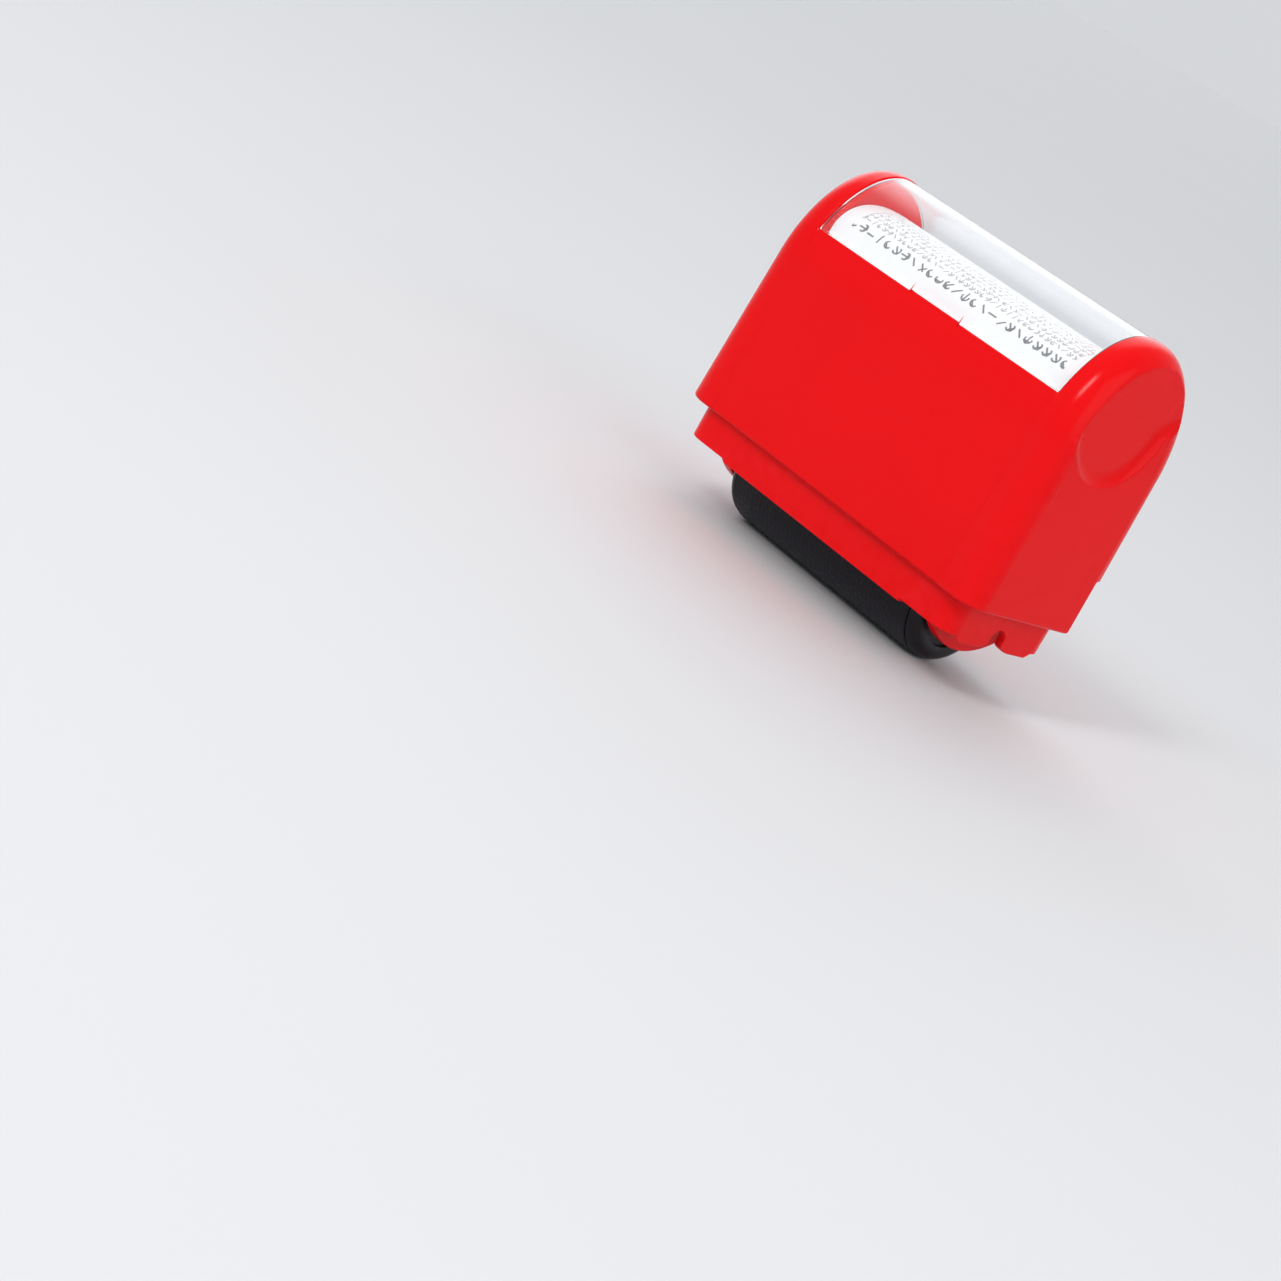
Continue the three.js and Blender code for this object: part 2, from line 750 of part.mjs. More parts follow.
// The printing roller's axle, with a clip groove near each end.
function dieAxleProfile() {
  const groove = dieAxleRadius - clipBite - touchGap;
  const grooveStart = clipInner - touchGap;
  const grooveStop = clipOuter + touchGap;
  return [
    [0, -axleEnd], [dieAxleRadius - axleChamfer, -axleEnd], [dieAxleRadius, axleChamfer - axleEnd],
    [dieAxleRadius, -grooveStop], [groove, -grooveStop], [groove, -grooveStart],
    [dieAxleRadius, -grooveStart], [dieAxleRadius, grooveStart], [groove, grooveStart],
    [groove, grooveStop], [dieAxleRadius, grooveStop], [dieAxleRadius, axleEnd - axleChamfer],
    [dieAxleRadius - axleChamfer, axleEnd], [0, axleEnd],
  ];
}

// A flanged bush drawn for the +X end. It sits in its cheek with its lip towards the roller.
function bushProfile(bore, radius, lip) {
  return [
    [bore, bushInner], [radius + lip, bushInner], [radius + lip, bushInner + bushFlange],
    [radius, bushInner + bushFlange], [radius, cheekOuter], [bore, cheekOuter],
  ];
}

// Turned profiles of the ink roller
function inkCoreProfile() {
  const disc = dieLength / 2 + touchGap;
  const discOuter = disc + inkDiscThickness;
  const rim = inkRadius - inkDiscShy;
  return [
    [inkBore, -flangeOuter], [inkCoreRadius, -flangeOuter], [inkCoreRadius, -discOuter],
    [rim, -discOuter], [rim, -disc], [inkCoreRadius, -disc],
    [inkCoreRadius, disc], [rim, disc], [rim, discOuter],
    [inkCoreRadius, discOuter], [inkCoreRadius, flangeOuter], [inkBore, flangeOuter],
  ];
}

function foamProfile() {
  const end = dieLength / 2;
  const inner = inkRadius - foamThickness;
  return [[inner, -end], [inkRadius, -end], [inkRadius, end], [inner, end]];
}

function inkAxleProfile() {
  const end = cheekOuter - touchGap;
  return [
    [0, -end], [inkAxleRadius - axleChamfer, -end], [inkAxleRadius, axleChamfer - end],
    [inkAxleRadius, end - axleChamfer], [inkAxleRadius - axleChamfer, end], [0, end],
  ];
}

// Retaining clip: an open ring with three short prongs that enter the axle's groove.
function clipGeometry() {
  const inner = dieAxleRadius - clipBite;
  const outer = inner + clipWidth;
  const relief = inner + clipWidth / 2;
  const opening = Math.PI / 4;
  const prong = Math.PI / 9;
  const shape = new THREE.Shape();
  shape.absarc(0, 0, outer, opening, 2 * Math.PI - opening, false);
  const prongs = [2 * Math.PI - opening - prong / 2, Math.PI, opening + prong / 2];
  prongs.forEach((middle) => {
    shape.absarc(0, 0, relief, Math.min(middle + prong, 2 * Math.PI - opening), middle + prong / 2, true);
    shape.absarc(0, 0, inner, middle + prong / 2, middle - prong / 2, true);
  });
  shape.closePath();
  const geometry = new THREE.ExtrudeGeometry(shape, {
    depth: clipThickness,
    bevelEnabled: false,
    curveSegments: 2 * cornerSteps,
  });
  geometry.rotateX(-Math.PI / 2);
  return geometry;
}

function finish(colour, roughness, metalness = 0) {
  return new THREE.MeshStandardMaterial({ color: colour, roughness, metalness });
}

const finishes = {
  redPlastic: finish(bodyRed, 0.22),
  clearPlastic: finish(0xf4f6f8, 0.06),
  card: finish(0xf5f5f3, 0.75),
  tankPlastic: finish(0x24222a, 0.35),
  lidPlastic: finish(0x2c2a33, 0.35),
  rubber: finish(inkBlack, 0.6),
  blackPlastic: finish(0x1b1a1f, 0.4),
  foam: finish(0x0f0d14, 0.95),
  felt: finish(0x2a2733, 1),
  steel: finish(0xb9bcc2, 0.3, 0.95),
  nylon: finish(0xdedbd2, 0.45),
  plugRubber: finish(0x3a3940, 0.7),
};
finishes.clearPlastic.transparent = true;
finishes.clearPlastic.opacity = 0.3;

function piece(name, geometry, material) {
  const mesh = new THREE.Mesh(geometry, material);
  mesh.name = name;
  return mesh;
}

// A group whose own +Y runs along the roller axis at a height above the surface.
function rollerGroup(height) {
  const spindle = new THREE.Group();
  spindle.position.set(0, 0, height);
  spindle.rotation.z = -Math.PI / 2;
  return spindle;
}

// A copy for the left end: the right-hand piece turned half round about the group's own X.
function endPair(name, makeGeometry, material) {
  const right = piece(`${name}_right`, makeGeometry(), material);
  const left = piece(`${name}_left`, makeGeometry(), material);
  left.rotation.x = Math.PI;
  return [left, right];
}

const stamp = new THREE.Group();

const casingGroup = new THREE.Group();
casingGroup.add(
  piece('casing', toGeometry(casingSolid()), finishes.redPlastic),
  piece('window_lens', toGeometry(lensSolid()), finishes.clearPlastic),
  piece('label_card', toGeometry(cardSolid()), finishes.card),
);

const frameGroup = new THREE.Group();
const felt = piece(
  'reservoir_felt',
  new THREE.ExtrudeGeometry(
    roundedRectangle(
      tankHalfLength - tankWall - 2 * touchGap,
      tankHalfDepth - tankWall - 2 * touchGap,
      tankCornerRadius / 2,
    ),
    { depth: tankHeight - tankFloor - touchGap - feltAir, bevelEnabled: false, curveSegments: cornerSteps },
  ),
  finishes.felt,
);
felt.position.z = tankBase + tankFloor + touchGap;
const wickHeight = tankBase + tankFloor - inkAxisHeight - inkRadius - touchGap;
const wick = piece(
  'feed_wick',
  new THREE.BoxGeometry(wickLength, wickThickness, wickHeight),
  finishes.felt,
);
wick.position.z = inkAxisHeight + inkRadius + touchGap + wickHeight / 2;
const plug = piece('refill_plug', toGeometry(plugSolid()), finishes.plugRubber);
plug.position.x = plugPlace;
frameGroup.add(
  piece('frame', toGeometry(frameSolid()), finishes.redPlastic),
  piece('ink_tank', toGeometry(tankSolid()), finishes.tankPlastic),
  piece('tank_lid', toGeometry(lidSolid()), finishes.lidPlastic),
  felt,
  wick,
  plug,
);

const dieGroup = rollerGroup(dieAxisHeight);
const clips = endPair('axle_clip', clipGeometry, finishes.steel);
clips[0].position.y = -clipInner;
clips[1].position.y = clipInner;
dieGroup.add(
  piece('die_sleeve', turned(rubberProfile(), 2 * smallRingSteps), finishes.rubber),
  piece('die_hub', turned(hubProfile()), finishes.blackPlastic),
  piece('die_axle', turned(dieAxleProfile(), smallRingSteps), finishes.steel),
  ...endPair('die_flange', () => turned(flangeProfile()), finishes.blackPlastic),
  ...endPair('die_bush', () => turned(bushProfile(bushBore, bushRadius, bushLip), smallRingSteps), finishes.nylon),
  ...clips,
);

const inkGroup = rollerGroup(inkAxisHeight);
inkGroup.add(
  piece('ink_roller_foam', turned(foamProfile()), finishes.foam),
  piece('ink_roller_core', turned(inkCoreProfile(), smallRingSteps), finishes.blackPlastic),
  piece('ink_axle', turned(inkAxleProfile(), smallRingSteps), finishes.steel),
  ...endPair(
    'ink_bush',
    () => turned(bushProfile(inkBore, inkBushRadius, inkBushLip), smallRingSteps),
    finishes.nylon,
  ),
);

frameGroup.add(dieGroup, inkGroup);
stamp.add(casingGroup, frameGroup);

export default stamp;
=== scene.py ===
"""A privacy roller stamp, modelled and dressed for its renders.

A red arched casing with a clear label window slides over a red inner frame. The frame carries
the printing roller, the ink roller above it and the ink tank with its lid, felt, wick and plug.
Lengths in the classes are millimetres, and the bench turns them into Blender's metres.
"""

import logging
import math
from abc import ABC, abstractmethod
from collections.abc import Callable, Mapping, Sequence
from dataclasses import dataclass
from enum import Enum

import bmesh
import bpy
from mathutils import Matrix, Vector


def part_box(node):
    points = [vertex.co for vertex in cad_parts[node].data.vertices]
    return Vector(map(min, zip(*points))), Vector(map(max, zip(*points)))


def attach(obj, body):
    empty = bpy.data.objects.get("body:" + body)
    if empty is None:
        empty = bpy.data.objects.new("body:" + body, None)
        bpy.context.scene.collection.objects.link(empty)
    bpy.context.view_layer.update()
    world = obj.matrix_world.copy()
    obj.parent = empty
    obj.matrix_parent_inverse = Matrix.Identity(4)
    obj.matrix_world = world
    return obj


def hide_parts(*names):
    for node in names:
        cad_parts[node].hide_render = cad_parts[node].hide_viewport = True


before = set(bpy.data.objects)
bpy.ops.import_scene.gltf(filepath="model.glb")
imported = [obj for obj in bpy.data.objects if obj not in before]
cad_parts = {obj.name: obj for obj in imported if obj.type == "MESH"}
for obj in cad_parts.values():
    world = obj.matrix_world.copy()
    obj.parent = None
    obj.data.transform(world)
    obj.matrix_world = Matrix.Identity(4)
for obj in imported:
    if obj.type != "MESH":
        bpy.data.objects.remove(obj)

LOG = logging.getLogger("roller_stamp")
MM = 0.001

Piece = bpy.types.Object
Socket = bpy.types.NodeSocket
Pair = tuple[float, float]
Triple = tuple[float, float, float]
Outline = list[Pair]
Colour = tuple[float, float, float, float]


class Combine(Enum):
    """What a tool does to the body that it is used on."""

    JOIN = "UNION"
    TAKE = "DIFFERENCE"


class Along(Enum):
    """The direction in which an outline is drawn out, or about which a profile is turned."""

    X = (1.0, 0.0, 0.0)
    Z = (0.0, 0.0, 1.0)

    def place(self, across: Pair, reach: float) -> Vector:
        """Puts a point of an outline at a place along the direction.

        Args:
            across: The point's two places in the plane of the outline.
            reach: Its place along the direction.

        Returns:
            The point in space, in millimetres.
        """
        first, second = across
        if self is Along.X:
            return Vector((reach, first, second))
        return Vector((first, second, reach))


class Body(Enum):
    """The moving bodies of the stamp."""

    FRAME = "frame_unit"
    CASING = "casing_unit"
    PLUG = "plug"
    ROLLER = "printing_roller"
    INKER = "ink_roller"


class End(Enum):
    """The two ends of the stamp along its rollers."""

    LEFT = -1
    RIGHT = 1


@dataclass(frozen=True)
class Arch:
    """A section of two walls under a rounded crown, in the plane across the rollers.

    The crown is a half ellipse at a fullness of 2, and squarer above that.
    """

    half_foot: float
    half_spring: float
    foot: float
    spring: float
    rise: float
    fullness: float = 2.0

    def half_wall(self, height: float) -> float:
        """Gives half the depth between the walls at a height, also below the foot."""
        slope = (self.half_foot - self.half_spring) / (self.spring - self.foot)
        return self.half_spring + slope * (self.spring - height)

    def curve(self, start: float = 0.0, steps: int = 96) -> Outline:
        """Lists points of the crown from the back over the top to the front.

        Args:
            start: Height above the spring line at which the curve starts and ends.
            steps: Number of straight steps.

        Returns:
            The points as places along Y and Z.
        """
        first = math.asin((start / self.rise) ** (self.fullness / 2))
        power = 2 / self.fullness
        points: Outline = []
        for step in range(steps + 1):
            turn = first + (math.pi - 2 * first) * step / steps
            across = math.copysign(abs(math.cos(turn)) ** power, math.cos(turn))
            points.append((self.half_spring * across,
                           self.spring + self.rise * math.sin(turn) ** power))
        return points

    def outline(self, spare: float = 9.0) -> Outline:
        """Lists the whole section, with its walls drawn on below the foot by a spare length."""
        low = self.foot - spare
        half = self.half_wall(low)
        return [(-half, low), (half, low), *self.curve()]

    def inset(self, depth: float) -> "Arch":
        """Gives the same arch drawn in by a depth all round."""
        return Arch(
            self.half_foot - depth,
            self.half_spring - depth,
            self.foot,
            self.spring,
            self.rise - depth,
            self.fullness,
        )

    def cap(self, base: float, reach: float = 20.0) -> Outline:
        """Lists the outline of all that lies above a base height and outside the curve.

        Args:
            base: Height of the two lower edges.
            reach: How far the outline reaches to both sides and above the base.

        Returns:
            The points as places along Y and Z.
        """
        return [(reach, base), *self.curve(base - self.spring), (-reach, base),
                (-reach, base + reach), (reach, base + reach)]


# Sizes that several assemblies share: the outer section and the label's deck, the heights of
# the two roller axes, the two faces of a cheek, how far tools reach past what they cut, how
# near two points count as one, and the angle up to which soft pieces are shaded smoothly
OUTER_ARCH = Arch(13.852, 13.352, 12.8, 36.8, 17.4)
LABEL_DECK = Arch(9.9, 9.9, 37.8, 42.8, 5.65, 2.4)
ROLLER_HEIGHT = 8.6
INKER_HEIGHT = 22.7
CHEEK = (21.9, 23.6)
PAST_ENDS = 40.0
PAST_WALLS = 20.0
PAST_LEVEL = 5.0
NEAR = 0.01
SOFT_ANGLE = 60.0
SIDES = (-1, 1)


def rounded_rectangle(
    half_length: float, half_depth: float, radius: float, steps: int = 8
) -> Outline:
    """Lists the outline of a rectangle with round corners about the middle.

    Args:
        half_length: Half its length along X.
        half_depth: Half its depth along Y.
        radius: Radius of its corners.
        steps: Straight steps in each corner.

    Returns:
        The points as places along X and Y.
    """
    points = []
    for quarter, (along, across) in enumerate(((1, 1), (-1, 1), (-1, -1), (1, -1))):
        for step in range(steps + 1):
            turn = math.pi / 2 * (quarter + step / steps)
            points.append((
                along * (half_length - radius) + radius * math.cos(turn),
                across * (half_depth - radius) + radius * math.sin(turn),
            ))
    return points


def arc(
    centre: Pair, radius: float, start: float, stop: float, steps: int
) -> Outline:
    """Lists points on a part of a circle.

    Args:
        centre: The circle's middle.
        radius: Its radius.
        start: First angle in degrees.
        stop: Last angle in degrees.
        steps: Straight steps between them.

    Returns:
        The points, with both ends.
    """
    turns = [math.radians(start + (stop - start) * step / steps) for step in range(steps + 1)]
    return [(centre[0] + radius * math.cos(t), centre[1] + radius * math.sin(t)) for t in turns]


def circle(centre: Pair, radius: float, points: int) -> Outline:
    """Lists evenly spaced points on a whole circle."""
    return arc(centre, radius, 0, 360 - 360 / points, points - 1)


def both_ways(half: Outline) -> Outline:
    """Lists a turned profile on both sides of the middle, from its right-hand half."""
    return [(radius, -place) for radius, place in reversed(half)] + half


def quarter_turn(steps: int) -> list[float]:
    """Lists the evenly spaced angles of a quarter turn, in radians."""
    return [math.pi / 2 * step / steps for step in range(steps + 1)]


class Bench:
    """Modelling moves made with Blender's operators. Lengths are in millimetres.

    Its values are the distances within which points are merged, the length under which an edge
    is dropped, how squarely an end face looks along X, and the room kept free near an end.
    """

    same_point = 0.001
    near_point = 0.012
    no_length = 0.002
    faces_end = 0.9
    end_room = 1.0

    @staticmethod
    def clear() -> None:
        """Leaves edit mode and deselects everything."""
        if bpy.context.mode != "OBJECT":
            bpy.ops.object.mode_set(mode="OBJECT")
        bpy.ops.object.select_all(action="DESELECT")

    @staticmethod
    def take_up(piece: Piece) -> None:
        """Makes a piece the only one selected, and the active one."""
        Bench.clear()
        piece.select_set(True)
        bpy.context.view_layer.objects.active = piece

    @staticmethod
    def edit(piece: Piece, kind: str) -> None:
        """Opens a piece in edit mode with nothing selected.

        Args:
            piece: The piece.
            kind: What is picked: VERT, EDGE or FACE.
        """
        Bench.take_up(piece)
        bpy.ops.object.mode_set(mode="EDIT")
        bpy.ops.mesh.select_mode(type=kind)
        bpy.ops.mesh.select_all(action="DESELECT")

    @staticmethod
    def pick_faces(piece: Piece, test: Callable[[Vector, Vector], bool]) -> None:
        """Selects faces in edit mode.

        Args:
            piece: The piece in edit mode.
            test: Takes a face's middle and its normal and says whether it is wanted.
        """
        mesh = bmesh.from_edit_mesh(piece.data)
        for face in mesh.faces:
            face.select_set(test(face.calc_center_median() / MM, face.normal))
        bmesh.update_edit_mesh(piece.data)

    @staticmethod
    def pick_edges(
        piece: Piece, test: Callable[[Vector, Vector], bool], sharper: float = 0.0
    ) -> None:
        """Selects edges in edit mode.

        Args:
            piece: The piece in edit mode.
            test: Takes an edge's two ends and says whether it is wanted.
            sharper: The surface turns by at least this many degrees at a wanted edge.
        """
        mesh = bmesh.from_edit_mesh(piece.data)
        least = math.radians(sharper)
        for edge in mesh.edges:
            wanted = test(edge.verts[0].co / MM, edge.verts[1].co / MM)
            edge.select_set(wanted and edge.calc_face_angle(0.0) >= least)
        bmesh.update_edit_mesh(piece.data)

    @staticmethod
    def pick_points(piece: Piece, test: Callable[[Vector], bool]) -> None:
        """Selects points in edit mode.

        Args:
            piece: The piece in edit mode.
            test: Takes a point's place and says whether it is wanted.
        """
        mesh = bmesh.from_edit_mesh(piece.data)
        for point in mesh.verts:
            point.select_set(test(point.co / MM))
        bmesh.update_edit_mesh(piece.data)

    @staticmethod
    def settle(piece: Piece) -> None:
        """Turns all faces outwards and puts the object at the origin, its place in its mesh."""
        Bench.take_up(piece)
        bpy.ops.object.transform_apply(location=True, rotation=True, scale=True)
        Bench.edit(piece, "VERT")
        bpy.ops.mesh.select_all(action="SELECT")
        bpy.ops.mesh.normals_make_consistent(inside=False)
        Bench.take_up(piece)

    @staticmethod
    def trace(name: str, path: Sequence[Vector]) -> Piece:
        """Draws a wire through points and stays in edit mode with all of it selected.

        Args:
            name: The new piece's name.
            path: The points in order.

        Returns:
            The new piece.
        """
        Bench.clear()
        bpy.ops.mesh.primitive_plane_add(size=MM, location=path[0] * MM)
        piece = bpy.context.object
        piece.name = name
        bpy.ops.object.mode_set(mode="EDIT")
        bpy.ops.mesh.select_mode(type="VERT")
        bpy.ops.mesh.select_all(action="SELECT")
        bpy.ops.mesh.merge(type="CENTER")
        for here, there in zip(path, path[1:]):
            bpy.ops.mesh.extrude_region_move(
                TRANSFORM_OT_translate={"value": (there - here) * MM}
            )
        bpy.ops.mesh.select_all(action="SELECT")
        return piece

    @staticmethod
    def prism(name: str, outline: Outline, along: Along, start: float, stop: float) -> Piece:
        """Draws out an outline into a solid.

        Args:
            name: The new piece's name.
            outline: The outline's points.
            along: The direction.
            start: Place along the direction where the solid starts.
            stop: Place where it ends.

        Returns:
            The new piece.
        """
        piece = Bench.trace(name, [along.place(point, start) for point in outline])
        bpy.ops.mesh.edge_face_add()
        reach = Vector(along.value) * ((stop - start) * MM)
        bpy.ops.mesh.extrude_region_move(TRANSFORM_OT_translate={"value": reach})
        Bench.settle(piece)
        return piece

    @staticmethod
    def block(name: str, low: Sequence[float], high: Sequence[float]) -> Piece:
        """Makes a box between two corners.

        Args:
            name: The new piece's name.
            low: Its lowest corner.
            high: Its highest corner.

        Returns:
            The new piece.
        """
        Bench.clear()
        lowest, highest = Vector(low), Vector(high)
        bpy.ops.mesh.primitive_cube_add(
            size=1.0, location=(lowest + highest) / 2 * MM, scale=(highest - lowest) * MM
        )
        piece = bpy.context.object
        piece.name = name
        Bench.settle(piece)
        return piece

    @staticmethod
    def plate(
        name: str, half: Pair, corner: float, low: float, high: float
    ) -> Piece:
        """Makes an upright block with round corners about the middle.

        Args:
            name: The new piece's name.
            half: Half its length and half its depth.
            corner: Radius of its corners.
            low: Height of its lower face.
            high: Height of its upper face.

        Returns:
            The new piece.
        """
        return Bench.prism(name, rounded_rectangle(*half, corner), Along.Z, low, high)

    @staticmethod
    def turned(
        name: str,
        profile: Outline,
        along: Along = Along.X,
        centre: Pair = (0.0, 0.0),
        steps: int = 96,
    ) -> Piece:
        """Turns a profile into a round piece.

        Args:
            name: The new piece's name.
            profile: Points as radius and place along the axis. A profile whose two ends are
                off the axis is closed to a ring.
            along: The direction of the axis.
            centre: The axis's place across that direction.
            steps: Straight steps round the piece.

        Returns:
            The new piece.
        """
        loop = list(profile)
        if min(profile[0][0], profile[-1][0]) > 0:
            loop.append(profile[0])
        if along is Along.X:
            path = [Vector((place, centre[0], centre[1] + radius)) for radius, place in loop]
            middle = Vector((0.0, centre[0], centre[1]))
        else:
            path = [Vector((centre[0] + radius, centre[1], place)) for radius, place in loop]
            middle = Vector((centre[0], centre[1], 0.0))
        piece = Bench.trace(name, path)
        bpy.ops.mesh.spin(
            steps=steps, angle=2 * math.pi, center=middle * MM, axis=along.value
        )
        bpy.ops.mesh.select_all(action="SELECT")
        bpy.ops.mesh.remove_doubles(threshold=Bench.same_point * MM)
        Bench.settle(piece)
        return piece

    @staticmethod
    def apply(piece: Piece, kind: str, **settings: object) -> None:
        """Adds one modifier to a piece and applies it.

        Args:
            piece: The piece.
            kind: The modifier's type.
            **settings: Its settings.
        """
        Bench.take_up(piece)
        bpy.ops.object.modifier_add(type=kind)
        modifier = piece.modifiers[-1]
        for name, value in settings.items():
            setattr(modifier, name, value)
        bpy.ops.object.modifier_apply(modifier=modifier.name)

    @staticmethod
    def combine(target: Piece, tool: Piece, how: Combine) -> None:
        """Uses one solid on another and removes the tool.

        Args:
            target: The body that changes.
            tool: The solid that is used on it.
            how: Whether it is joined or taken away.
        """
        Bench.apply(target, "BOOLEAN", operation=how.value, solver="EXACT", object=tool)
        bpy.data.objects.remove(tool)

    @staticmethod
    def join(target: Piece, tool: Piece) -> None:
        """Joins a solid to a body."""
        Bench.combine(target, tool, Combine.JOIN)

    @staticmethod
    def take(target: Piece, tool: Piece) -> None:
        """Cuts a solid out of a body."""
        Bench.combine(target, tool, Combine.TAKE)

    @staticmethod
    def round_edges(
        piece: Piece,
        test: Callable[[Vector, Vector], bool],
        radius: float,
        segments: int,
        sharper: float = 0.0,
    ) -> None:
        """Rounds chosen edges.

        Args:
            piece: The piece.
            test: Takes an edge's two ends and says whether it is rounded.
            radius: The rounding's radius.
            segments: Its steps.
            sharper: The surface turns by at least this many degrees at a rounded edge.
        """
        Bench.edit(piece, "EDGE")
        Bench.pick_edges(piece, test, sharper)
        bpy.ops.mesh.bevel(
            offset_type="OFFSET",
            offset=radius * MM,
            segments=segments,
            affect="EDGES",
            clamp_overlap=False,
        )
        Bench.settle(piece)

    @staticmethod
    def slice(piece: Piece, height: float, keep_above: bool) -> None:
        """Cuts a piece level and closes the cut.

        Args:
            piece: The piece.
            height: Height of the cut.
            keep_above: Whether the part above the cut is kept, or the part below it.
        """
        Bench.edit(piece, "FACE")
        bpy.ops.mesh.select_all(action="SELECT")
        bpy.ops.mesh.bisect(
            plane_co=(0.0, 0.0, height * MM),
            plane_no=(0.0, 0.0, 1.0),
            use_fill=True,
            clear_inner=keep_above,
            clear_outer=not keep_above,
        )
        Bench.settle(piece)

    @staticmethod
    def arch_body(
        name: str,
        arch: Arch,
        half_length: float,
        end_radius: float,
        lean: float = 0.0,
        segments: int = 10,
    ) -> Piece:
        """Makes an arched body along X with rounded ends that may lean inwards.

        Args:
            name: The new piece's name.
            arch: Its section.
            half_length: Half its length at the foot.
            end_radius: Radius round its two end faces.
            lean: How far each end leans in from the foot to the crown.
            segments: Steps in the ends' rounding.

        Returns:
            The new piece.
        """
        body = Bench.prism(name, arch.outline(), Along.X, -half_length, half_length)
        height = arch.spring + arch.rise - arch.foot
        for end in End if lean else ():
            Bench.edit(body, "FACE")
            Bench.pick_faces(body, lambda _, normal: normal.x * end.value > Bench.faces_end)
            bpy.ops.transform.rotate(
                value=end.value * math.atan(lean / height),
                orient_axis="Y",
                center_override=(end.value * half_length * MM, 0.0, arch.foot * MM),
            )
        near_end = half_length - 2 * lean - Bench.end_room
        Bench.round_edges(
            body,
            lambda a, b: a.x * b.x > 0 and min(abs(a.x), abs(b.x)) > near_end,
            end_radius,
            segments,
        )
        return body

    @staticmethod
    def soften(piece: Piece, width: float, segments: int = 3, angle: float = 35.0) -> None:
        """Rounds every sharp edge a little and shades the piece smoothly.

        Args:
            piece: The piece.
            width: Width of the rounding.
            segments: Its steps.
            angle: Edges that turn by more degrees than this are rounded.
        """
        Bench.edit(piece, "VERT")
        bpy.ops.mesh.select_all(action="SELECT")
        bpy.ops.mesh.remove_doubles(threshold=Bench.near_point * MM)
        bpy.ops.mesh.dissolve_degenerate(threshold=Bench.no_length * MM)
        bpy.ops.mesh.delete_loose()
        Bench.apply(
            piece,
            "BEVEL",
            width=width * MM,
            segments=segments,
            limit_method="ANGLE",
            angle_limit=math.radians(angle),
            use_clamp_overlap=False,
            miter_outer="MITER_ARC",
        )
        Bench.settle(piece)
        Bench.shade(piece)

    @staticmethod
    def shade(piece: Piece, angle: float = 32.0) -> None:
        """Shades a piece smoothly where it turns by less than an angle in degrees."""
        Bench.take_up(piece)
        bpy.ops.object.shade_smooth_by_angle(angle=math.radians(angle))
        Bench.apply(piece, "WEIGHTED_NORMAL", keep_sharp=True)

    @staticmethod
    def roughen(piece: Piece, depth: float, grain: float) -> None:
        """Moves a soft piece's points inwards and outwards by a cloudy amount.

        Args:
            piece: The piece, with a fine mesh.
            depth: The whole range of the movement.
            grain: Size of the clouds.
        """
        clouds = bpy.data.textures.new(f"{piece.name}_clouds", "CLOUDS")
        clouds.noise_scale = grain * MM
        clouds.noise_depth = 3
        Bench.apply(piece, "DISPLACE", texture=clouds, strength=depth * MM, mid_level=0.8)

    @staticmethod
    def copy_for(piece: Piece, name: str) -> Piece:
        """Copies a right-hand piece, with its own mesh, and turns it over to the left end.

        Args:
            piece: The right-hand piece.
            name: The copy's name.

        Returns:
            The left-hand piece.
        """
        Bench.take_up(piece)
        bpy.ops.object.duplicate(linked=False)
        copy = bpy.context.object
        copy.name = name
        copy.scale = (-1.0, 1.0, 1.0)
        Bench.settle(copy)
        Bench.shade(copy)
        return copy


